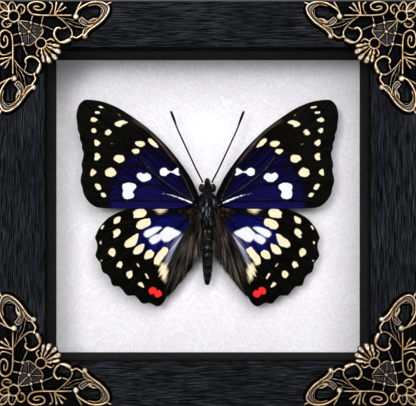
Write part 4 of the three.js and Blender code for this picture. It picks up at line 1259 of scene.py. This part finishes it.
# %% Hair patches
def hair_material(name, dark, middle, light):
    """Hair with a dark, a middle and a light colour by the tone of each strand."""
    material, tree, shader = start_material(name, Roughness=0.5, Specular_IOR_Level=0.03)
    tone = add(tree, "Attribute", attribute_name="tone").outputs["Fac"]
    mottle = grain(tree, 3000, detail=2.0)
    tone = calculate(tree, "ADD", tone, calculate(tree, "MULTIPLY",
                                                  calculate(tree, "SUBTRACT", mottle, 0.5), 0.3))
    colour = blend_colours(tree, ease(tree, tone, 0.0, 0.5), linear(dark), linear(middle))
    colour = blend_colours(tree, ease(tree, tone, 0.5, 1.0), colour, linear(light))
    tree.links.new(colour, shader.inputs["Base Color"])
    return material


HAIR_TAPER = ((0, 1.0), (0.45, 0.85), (0.8, 0.5), (1.0, 0.0))     # share of length, thickness
HAIR_CORNERS = (0, 2.094, 4.189)                                 # a third of a turn apart
ACROSS_HAIR = (0.31, 0.95, 0.05)                                 # a slanting arrow to turn from


def unit(vectors):
    """Arrows of length one."""
    return vectors / np.linalg.norm(vectors, axis=1, keepdims=True)


def hair_mesh(name, roots, aims, lengths, radius, tones, droop=(0, 0, 0)):
    """One mesh of spikes from roots along aims, drooping towards their tips."""
    count = len(roots)
    aims = unit(aims)
    side = unit(np.cross(aims, ACROSS_HAIR))
    other = np.cross(aims, side)
    rows = []
    for share, thickness in HAIR_TAPER:
        axis = roots + aims * (lengths * share)[:, None]
        axis = axis + np.array(droop) * (lengths * share ** 2)[:, None]
        if thickness == 0:
            rows.append(axis[:, None, :])
            continue
        ring = [axis + radius * thickness * (math.cos(a) * side + math.sin(a) * other)
                for a in HAIR_CORNERS]
        rows.append(np.stack(ring, axis=1))
    places = np.concatenate(rows, axis=1)
    per_hair = places.shape[1]
    pattern = []
    for row in (0, 3):
        for k in range(3):
            j = (k + 1) % 3
            pattern.append((row + k, row + j, row + 3 + j, row + 3 + k))
    pattern += [(6 + k, 6 + (k + 1) % 3, 9) for k in range(3)]
    faces = [tuple(start + index for index in face)
             for start in range(0, count * per_hair, per_hair) for face in pattern]
    mesh = bpy.data.meshes.new(name)
    mesh.from_pydata(places.reshape(-1, 3).tolist(), [], faces)
    store(mesh, "tone", np.repeat(tones, per_hair))
    return mesh


def finish_hair(name, material, roots, aims, lengths, radius, tones, droop=(0, 0, 0)):
    """Makes a patch of hair a piece, on top of what it grows from."""
    mesh = hair_mesh(name, roots, aims, lengths, radius, tones, droop)
    finish_piece(name, mesh, material, [], 180)


def streaky(points, scale, seed):
    """Soft noise from 0 to 1 at some points, with its own stretch along each axis."""
    stretched = np.asarray(points) * np.array(scale) + seed
    values = [noise.noise(Vector(p)) for p in stretched]
    return np.clip(0.5 + 0.9 * np.array(values), 0, 1)


# %% [markdown]
# ## Thorax, abdomen and head
#
# The thorax is a barrel full of flight muscle, under dense dark fur with a grey-blue sheen along
# its back, painted into the hair tones as painted highlight. The abdomen is a row of rings that
# slide into each other like a telescope, each ring's rear edge over the front of the next, covered
# with fine black scales, with painted highlights on its rings. The head is small and round between
# two large bulging eyes, and its two palps close together into a blunt snout.

# %% Turned shells and their fur
rng = np.random.default_rng(7)


def turned_shell(name, profile, flatten=1.0):
    """A closed shell: a profile of (radius, height) spun round the body's axis."""
    bm = bmesh.new()
    line = [bm.verts.new((BODY_X + r, WING_Y, z)) for r, z in profile]
    edges = [bm.edges.new(pair) for pair in zip(line[:-1], line[1:])]
    bmesh.ops.spin(bm, geom=line + edges, cent=(BODY_X, WING_Y, 0), axis=(0, 0, 1),
                   angle=2 * math.pi, steps=40, use_merge=True)
    bmesh.ops.remove_doubles(bm, verts=bm.verts[:], dist=0.001)
    bmesh.ops.edgeloop_fill(bm, edges=[e for e in bm.edges if e.is_boundary])
    bmesh.ops.scale(bm, verts=bm.verts[:], vec=(1, flatten, 1),
                    space=Matrix.Translation((0, -WING_Y, 0)))
    return to_mesh(bm, name)


def roots_on(profile, count, low, high):
    """Random places on a turned shell, and the direction straight out of it at each."""
    height = rng.uniform(low, high, count)
    around = rng.uniform(0, 2 * math.pi, count)
    order = np.argsort(profile[:, 1])
    radius = np.interp(height, profile[order, 1], profile[order, 0])
    out = np.column_stack([np.cos(around), np.sin(around), np.zeros(count)])
    roots = np.array([BODY_X, WING_Y, 0]) + out * (radius * 0.96)[:, None]
    roots[:, 2] = height
    return roots, out, around


def black_chitin(name, dark, light, roughness, scale):
    """A hard dark shell, finely pitted and scaled."""
    material, tree, shader = start_material(name, Roughness=roughness, Specular_IOR_Level=0.04)
    scales = add(tree, "TexVoronoi", {"Vector": add(tree, "TexCoord").outputs["Object"],
                                      "Scale": scale}).outputs["Distance"]
    clouds = grain(tree, 500, detail=4.0)
    colour = blend_colours(tree, ease(tree, clouds, 0.4, 0.7), linear(dark), linear(light))
    tree.links.new(colour, shader.inputs["Base Color"])
    bump = add(tree, "Bump", {"Strength": 0.5, "Distance": 0.00012, "Height": scales})
    tree.links.new(bump.outputs[0], shader.inputs["Normal"])
    return material


def ellipsoid(bm, place, radii, tilt=0.0, subdivisions=4):
    """Adds a ball stretched along three axes and tilted in the picture's plane."""
    turn = Matrix.Translation(place) @ Matrix.Rotation(tilt, 4, "Y") @ Matrix.Diagonal((*radii, 1))
    bmesh.ops.create_icosphere(bm, subdivisions=subdivisions, radius=1.0, matrix=turn)


# %% Thorax
THORAX = [(0.8, 61.1), (1.7, 61.9), (2.1, 63.4), (2.4, 66.0), (2.55, 69.0), (2.5, 71.0),
          (2.1, 72.3), (1.0, 73.1)]
THORAX_PAINTED_SHEEN = [(-0.25, 0.22, 64.5, 72.0, 1.0), (0.75, 0.2, 64.0, 67.5, 0.5),
                  (-1.5, 0.22, 66.5, 71.5, 0.35),
                  (1.9, 0.25, 68.0, 72.0, 0.4)]         # x, width, lower end, upper end, strength
thorax_line = smooth_line(THORAX, 6)
chitin = black_chitin("black scaled shell", "060606", "161615", 0.5, 5000)
finish_piece("thorax_shell", turned_shell("thorax_shell", thorax_line, 1.05), chitin,
             ["thorax"])

roots, out, around = roots_on(thorax_line, 6500, 61.6, 72.6)
splay = np.clip((66 - roots[:, 2]) / 5, 0, 1)[:, None]
aims = out * (0.22 + 0.2 * splay) + np.array([0, 0, -1.0]) + rng.normal(size=out.shape) * 0.14
streaks = streaky(np.column_stack([around * 5, roots[:, 2] * 0.45, around * 0]), (1, 1, 1), 3.0)
tones = np.clip((streaks - 0.6) * 2.2, 0, 0.7)
across = roots[:, 0] - BODY_X
facing = roots[:, 1] < WING_Y
# Painted highlight: front-facing hairs are made lighter in these stripes along the back.
for place, width, low, high, gain in THORAX_PAINTED_SHEEN:
    fade = np.clip((roots[:, 2] - low) / 1.5, 0, 1) * np.clip((high - roots[:, 2]) / 1.2, 0, 1)
    tones += gain * np.exp(-((across - place) / width) ** 2) * fade * facing
tones = tones * rng.uniform(0.4, 1.15, len(roots)) + 0.5 * (rng.uniform(size=len(roots)) > 0.96)
body_fur = hair_material("black body hair", "030303", "434546", "d4dce4")
finish_hair("thorax_fur", body_fur, roots, aims, rng.uniform(1.1, 2.4, len(roots)), 0.07, tones)

# %% Abdomen
TAIL_Z = 39.9
ABDOMEN = [(0.0, TAIL_Z), (0.42, 40.5), (0.85, 41.8), (1.25, 43.7), (1.6, 46.8), (1.7, 51.0),
           (1.62, 55.0), (1.5, 59.0), (1.3, 62.8)]
RING_LENGTH = 2.75
RING_STEP = 0.09

abdomen_line = smooth_line(ABDOMEN, 12)
share = (abdomen_line[:, 1] - TAIL_Z) / RING_LENGTH % 1
abdomen_line[:, 0] *= 1 + RING_STEP * (1 - share) ** 2
finish_piece("abdomen_shell", turned_shell("abdomen_shell", abdomen_line), chitin,
             ["abdomen"], 60)

roots, out, around = roots_on(abdomen_line, 4600, 40.6, 62.0)
height = roots[:, 2]
aims = out * 0.3 + np.array([0, 0, -1.0]) + rng.normal(size=out.shape) * 0.12
across = (roots[:, 0] - BODY_X) / 1.7
# Painted highlights: the hair is lighter towards each ring's joints, in two rows along the back and
# in a few glints.
row = np.abs((height - TAIL_Z) / RING_LENGTH % 1 - 0.5) * 2
tones = np.clip(streaky(roots, (1.6, 1.6, 1.0), 9.0) - 0.5, 0, 1) * 1.3 * (0.2 + 0.8 * row)
tones += 0.4 * np.exp(-((np.abs(across) - 0.45) / 0.16) ** 2) * (row > 0.55)
painted_glints = [np.exp(-((roots[:, 0] - BODY_X - x) / 0.25) ** 2 - ((height - z) / 0.25) ** 2)
         for x, z in ((-0.2, 61.3), (-0.5, 58.0), (0.1, 57.0), (-0.05, 54.9), (-0.3, 54.0),
                      (0.25, 54.0), (0.0, 53.3), (0.1, 51.3), (-0.2, 51.0))]
tones += np.max(painted_glints, axis=0) * 1.1
tones *= rng.uniform(0.5, 1.1, len(roots))
finish_hair("abdomen_fuzz", body_fur, roots, aims, rng.uniform(0.4, 0.9, len(roots)), 0.045, tones)

# %% Head, eyes and palps
EYE_OUT = 2.05
EYE_Z = 74.2
PALP_Z = 76.1
EYE_RADII = (1.05, 1.15, 1.58)

bm = bmesh.new()
ellipsoid(bm, (BODY_X, WING_Y, EYE_Z), (1.55, 1.45, 1.75), subdivisions=3)
ellipsoid(bm, (BODY_X, WING_Y, 72.3), (1.9, 1.8, 1.2), subdivisions=3)
for side in (-1, 1):
    ellipsoid(bm, (BODY_X + side * 0.36, WING_Y - 0.2, PALP_Z), (0.52, 0.6, 1.5), side * -0.14,
              subdivisions=3)
bm = melt(to_mesh(bm, "head before melting"), 0.1)
finish_piece("head_shell", to_mesh(bm, "head_shell"), chitin, ["head"], 180)

count = 1500
ball = unit(rng.normal(size=(count, 3)))
roots = np.array([BODY_X, WING_Y, EYE_Z]) + ball * np.array([1.5, 1.4, 1.7])
roots[count // 2:] = (np.array([BODY_X, WING_Y - 0.2, PALP_Z])
                      + ball[count // 2:] * np.array([0.85, 0.6, 1.35]))
aims = ball + np.array([0, 0, 0.3]) + rng.normal(size=ball.shape) * 0.3
tones = 0.5 * streaky(roots, (2, 2, 1), 5.0) ** 2
finish_hair("head_fuzz", body_fur, roots, aims, rng.uniform(0.25, 0.5, count), 0.035, tones)


def compound_eye():
    """A polished black dome of many lenses, with a red glint painted in where light comes back."""
    material, tree, shader = start_material("compound eye", Roughness=0.2,
                                            Specular_IOR_Level=0.2)
    gap = add(tree, "Attribute", attribute_name="patch").outputs["Fac"]
    shade = grain(tree, 800, detail=2.0)
    colour = blend_colours(tree, shade, linear("070606"), linear("1a1513"))
    colour = blend_colours(tree, ease(tree, gap, 0.12, 0.36, 1.0, 0.0), colour, linear("e4442a"))
    tree.links.new(colour, shader.inputs["Base Color"])
    return material


eye_material = compound_eye()
for word, side in (("left", -1), ("right", 1)):
    bm = bmesh.new()
    ellipsoid(bm, (BODY_X + side * EYE_OUT, WING_Y - 0.15, EYE_Z), EYE_RADII)
    mesh = to_mesh(bm, "eye_" + word)
    places = np.array([v.co[:] for v in mesh.vertices])
    # The red spot is a painted glint, placed on the upper inner side of each eye.
    patch = np.array([BODY_X + side * 1.5, WING_Y - 1.05, EYE_Z + 0.75])
    store(mesh, "patch", np.linalg.norm(places - patch, axis=1))
    finish_piece("eye_" + word, mesh, eye_material, [], 180)

# %% [markdown]
# ## Antennae
#
# Each antenna is a thin jointed rod of dark horn that swells into a slim club with a rust-brown
# tip. It rises a little towards the glass as it goes out.

# %% Antennae
ANTENNA = [(1.7, 76.0), (1.95, 76.9), (3.7, 80.3), (5.93, 85.0), (8.11, 89.7), (10.33, 94.5),
           (11.57, 97.9), (12.5, 100.3), (12.84, 101.2)]
ANTENNA_RISE = 1.2


def dark_horn():
    material, tree, shader = start_material("dark horn", Roughness=0.5, Specular_IOR_Level=0.02)
    tip = add(tree, "Attribute", attribute_name="tip").outputs["Fac"]
    joints = grain(tree, 2500, (0.3, 0.3, 1), detail=1.0)
    colour = blend_colours(tree, joints, linear("020202"), linear("060505"))
    colour = blend_colours(tree, ease(tree, tip, 0.2, 1.3, 1.0, 0.0), colour, linear("7a2f1c"))
    tree.links.new(colour, shader.inputs["Base Color"])
    return material


horn = dark_horn()
for word, side in (("left", -1), ("right", 1)):
    flat = smooth_line(ANTENNA, 8)
    run = (flat[:, 1] - flat[0, 1]) / (flat[-1, 1] - flat[0, 1])
    path = np.column_stack([BODY_X + side * flat[:, 0], WING_Y - 0.5 - ANTENNA_RISE * run,
                            flat[:, 1]])
    radii = np.interp(run, [0, 0.03, 0.78, 0.9, 0.985, 1.0], [0.34, 0.3, 0.28, 0.48, 0.44, 0.12])
    mesh = tube_mesh("antenna_" + word, [(path, radii, False)])
    places = np.array([v.co[:] for v in mesh.vertices])
    store(mesh, "tip", np.linalg.norm(places - path[-1], axis=1))
    finish_piece("feeler_" + word, mesh, horn, ["antenna_" + word])

# %% [markdown]
# ## Hairs at the wing bases
#
# Long soft hairs cover the inner part of each hindwing and fan out from its root: dark brown next
# to the black of the wing, and tawny grey towards the body. A short brown tuft covers the place
# where the two wings meet the thorax.

# %% Hairs on the wings
def points_inside(loop, count):
    """Random points inside a closed loop."""
    low, high = loop.min(axis=0), loop.max(axis=0)
    found = rng.uniform(low, high, (count * 6, 2))
    return found[signed_distance(found, loop) > 0][:count]


def on_hindwing(flat, side, above):
    """Places just above the hindwing's surface."""
    height = relief(flat, HINDWING, HINDWING_VEINS) - HINDWING_DROP + above
    return np.column_stack([BODY_X + side * flat[:, 0], WING_Y - height, flat[:, 1]])


HAIR_FAN_ROOT = (3.8, 66.5)
wing_fur = hair_material("brown wing hair", "060504", "453e37", "9f9283")
tuft_fur = hair_material("brown tuft hair", "060403", "33271f", "8a6d57")
HAIR_ZONE = smooth_line(HINDWING_HAIR, 4, closed=True)
SHOULDER_ZONE = smooth_line([(2.0, 71.8), (2.7, 71.8), (3.2, 70.6), (3.6, 69.0), (3.4, 67.4),
                             (2.2, 66.8)], 4, closed=True)
FLANK_ZONE = smooth_line([(1.7, 65.0), (3.6, 65.6), (4.6, 63.6), (3.6, 60.4), (1.7, 59.2)], 4,
                         closed=True)
TUFT_ZONE = smooth_line([(3.4, 67.0), (6.5, 67.0), (9.3, 66.6), (8.6, 64.6), (6.2, 62.8),
                         (3.2, 62.2)], 4, closed=True)

for word, side in (("left", -1), ("right", 1)):
    flat = points_inside(HAIR_ZONE, 3800)
    arm = flat - np.array(HAIR_FAN_ROOT)
    reach = np.linalg.norm(arm, axis=1)
    angle = np.arctan2(arm[:, 1], arm[:, 0])
    aims = np.column_stack([side * arm[:, 0], -0.05 * reach, arm[:, 1]])
    aims = unit(aims) + rng.normal(size=aims.shape) * 0.05
    fan = np.column_stack([angle * 22, reach * 0.12, side * np.ones(len(arm))])
    tones = 0.6 * streaky(fan, (1, 1, 1), 2.0) + 0.7 * streaky(fan, (2.8, 1.5, 1), 6.0) - 0.38
    tones = np.clip(1.4 * tones - 0.08, 0, 1.2)
    tones *= 0.5 + 0.5 * np.clip((-1.08 - angle) / 0.3, 0, 1)
    tones *= np.clip(reach / 9, 0.4, 1) * rng.uniform(0.7, 1.2, len(flat))
    roots = on_hindwing(flat - arm * 0.06, side, 0.05)
    finish_hair("hindwing_hair_" + word, wing_fur, roots, aims, rng.uniform(2.0, 3.6, len(flat)),
                0.045, tones)

    flat = points_inside(TUFT_ZONE, 1500)
    roots = on_hindwing(flat, side, 0.1)
    aims = np.column_stack([side * rng.uniform(0.2, 1.0, len(flat)),
                            rng.uniform(-0.7, -0.2, len(flat)), rng.uniform(-1.0, 0.2, len(flat))])
    tones = np.clip(streaky(roots, (1.1, 1.1, 1.1), 4.0) - 0.4, 0, 1)
    tones *= rng.uniform(0.4, 1.8, len(flat))
    finish_hair("wing_base_tuft_" + word, tuft_fur, roots, aims, rng.uniform(0.6, 1.4, len(flat)),
                0.045, tones)

    flat = points_inside(SHOULDER_ZONE, 1100)
    roots = np.column_stack([BODY_X + side * flat[:, 0],
                             WING_Y + rng.uniform(-1.0, 0.4, len(flat)), flat[:, 1]])
    aims = np.column_stack([side * rng.uniform(-0.1, 0.5, len(flat)),
                            rng.uniform(-0.4, 0.0, len(flat)), rng.uniform(-1.2, -0.5, len(flat))])
    tones = np.clip(streaky(roots, (1.5, 1.5, 0.5), 6.0) - 0.6, 0, 1)
    tones *= rng.uniform(0.2, 0.9, len(flat))
    finish_hair("shoulder_tuft_" + word, body_fur, roots, aims, rng.uniform(0.7, 1.4, len(flat)),
                0.055, tones)

    flat = points_inside(FLANK_ZONE, 1500)
    roots = np.column_stack([BODY_X + side * flat[:, 0],
                             WING_Y + rng.uniform(-0.6, 1.0, len(flat)), flat[:, 1]])
    spread = side * (0.1 + 0.22 * (flat[:, 0] - 1.7)) * rng.uniform(0.5, 1.3, len(flat))
    aims = np.column_stack([spread, rng.uniform(-0.12, 0.02, len(flat)), np.full(len(flat), -1.0)])
    streaks = streaky(np.column_stack([flat[:, 0] * 1.6, flat[:, 1] * 0.2, flat[:, 0] * 0]),
                      (1, 1, 1), 12.0 + side)
    tones = np.clip(streaks - 0.3, 0, 1) * rng.uniform(0.6, 1.2, len(flat))
    finish_hair("flank_hair_" + word, wing_fur, roots, aims, rng.uniform(2.5, 5.5, len(flat)), 0.05,
                tones, droop=(0, 0.1, 0))

# %% [markdown]
# ## Floor
#
# The frame stands on a plain pale floor.

# %% Floor
bm = bmesh.new()
bmesh.ops.create_grid(bm, x_segments=1, y_segments=1, size=4.0)
floor = bpy.data.objects.new("floor", to_mesh(bm, "floor"))
bpy.context.collection.objects.link(floor)
floor_material, floor_tree, floor_shader = start_material("pale studio floor", Roughness=0.8)
floor_shader.inputs["Base Color"].default_value = linear("dcdcde")
floor.data.materials.append(floor_material)
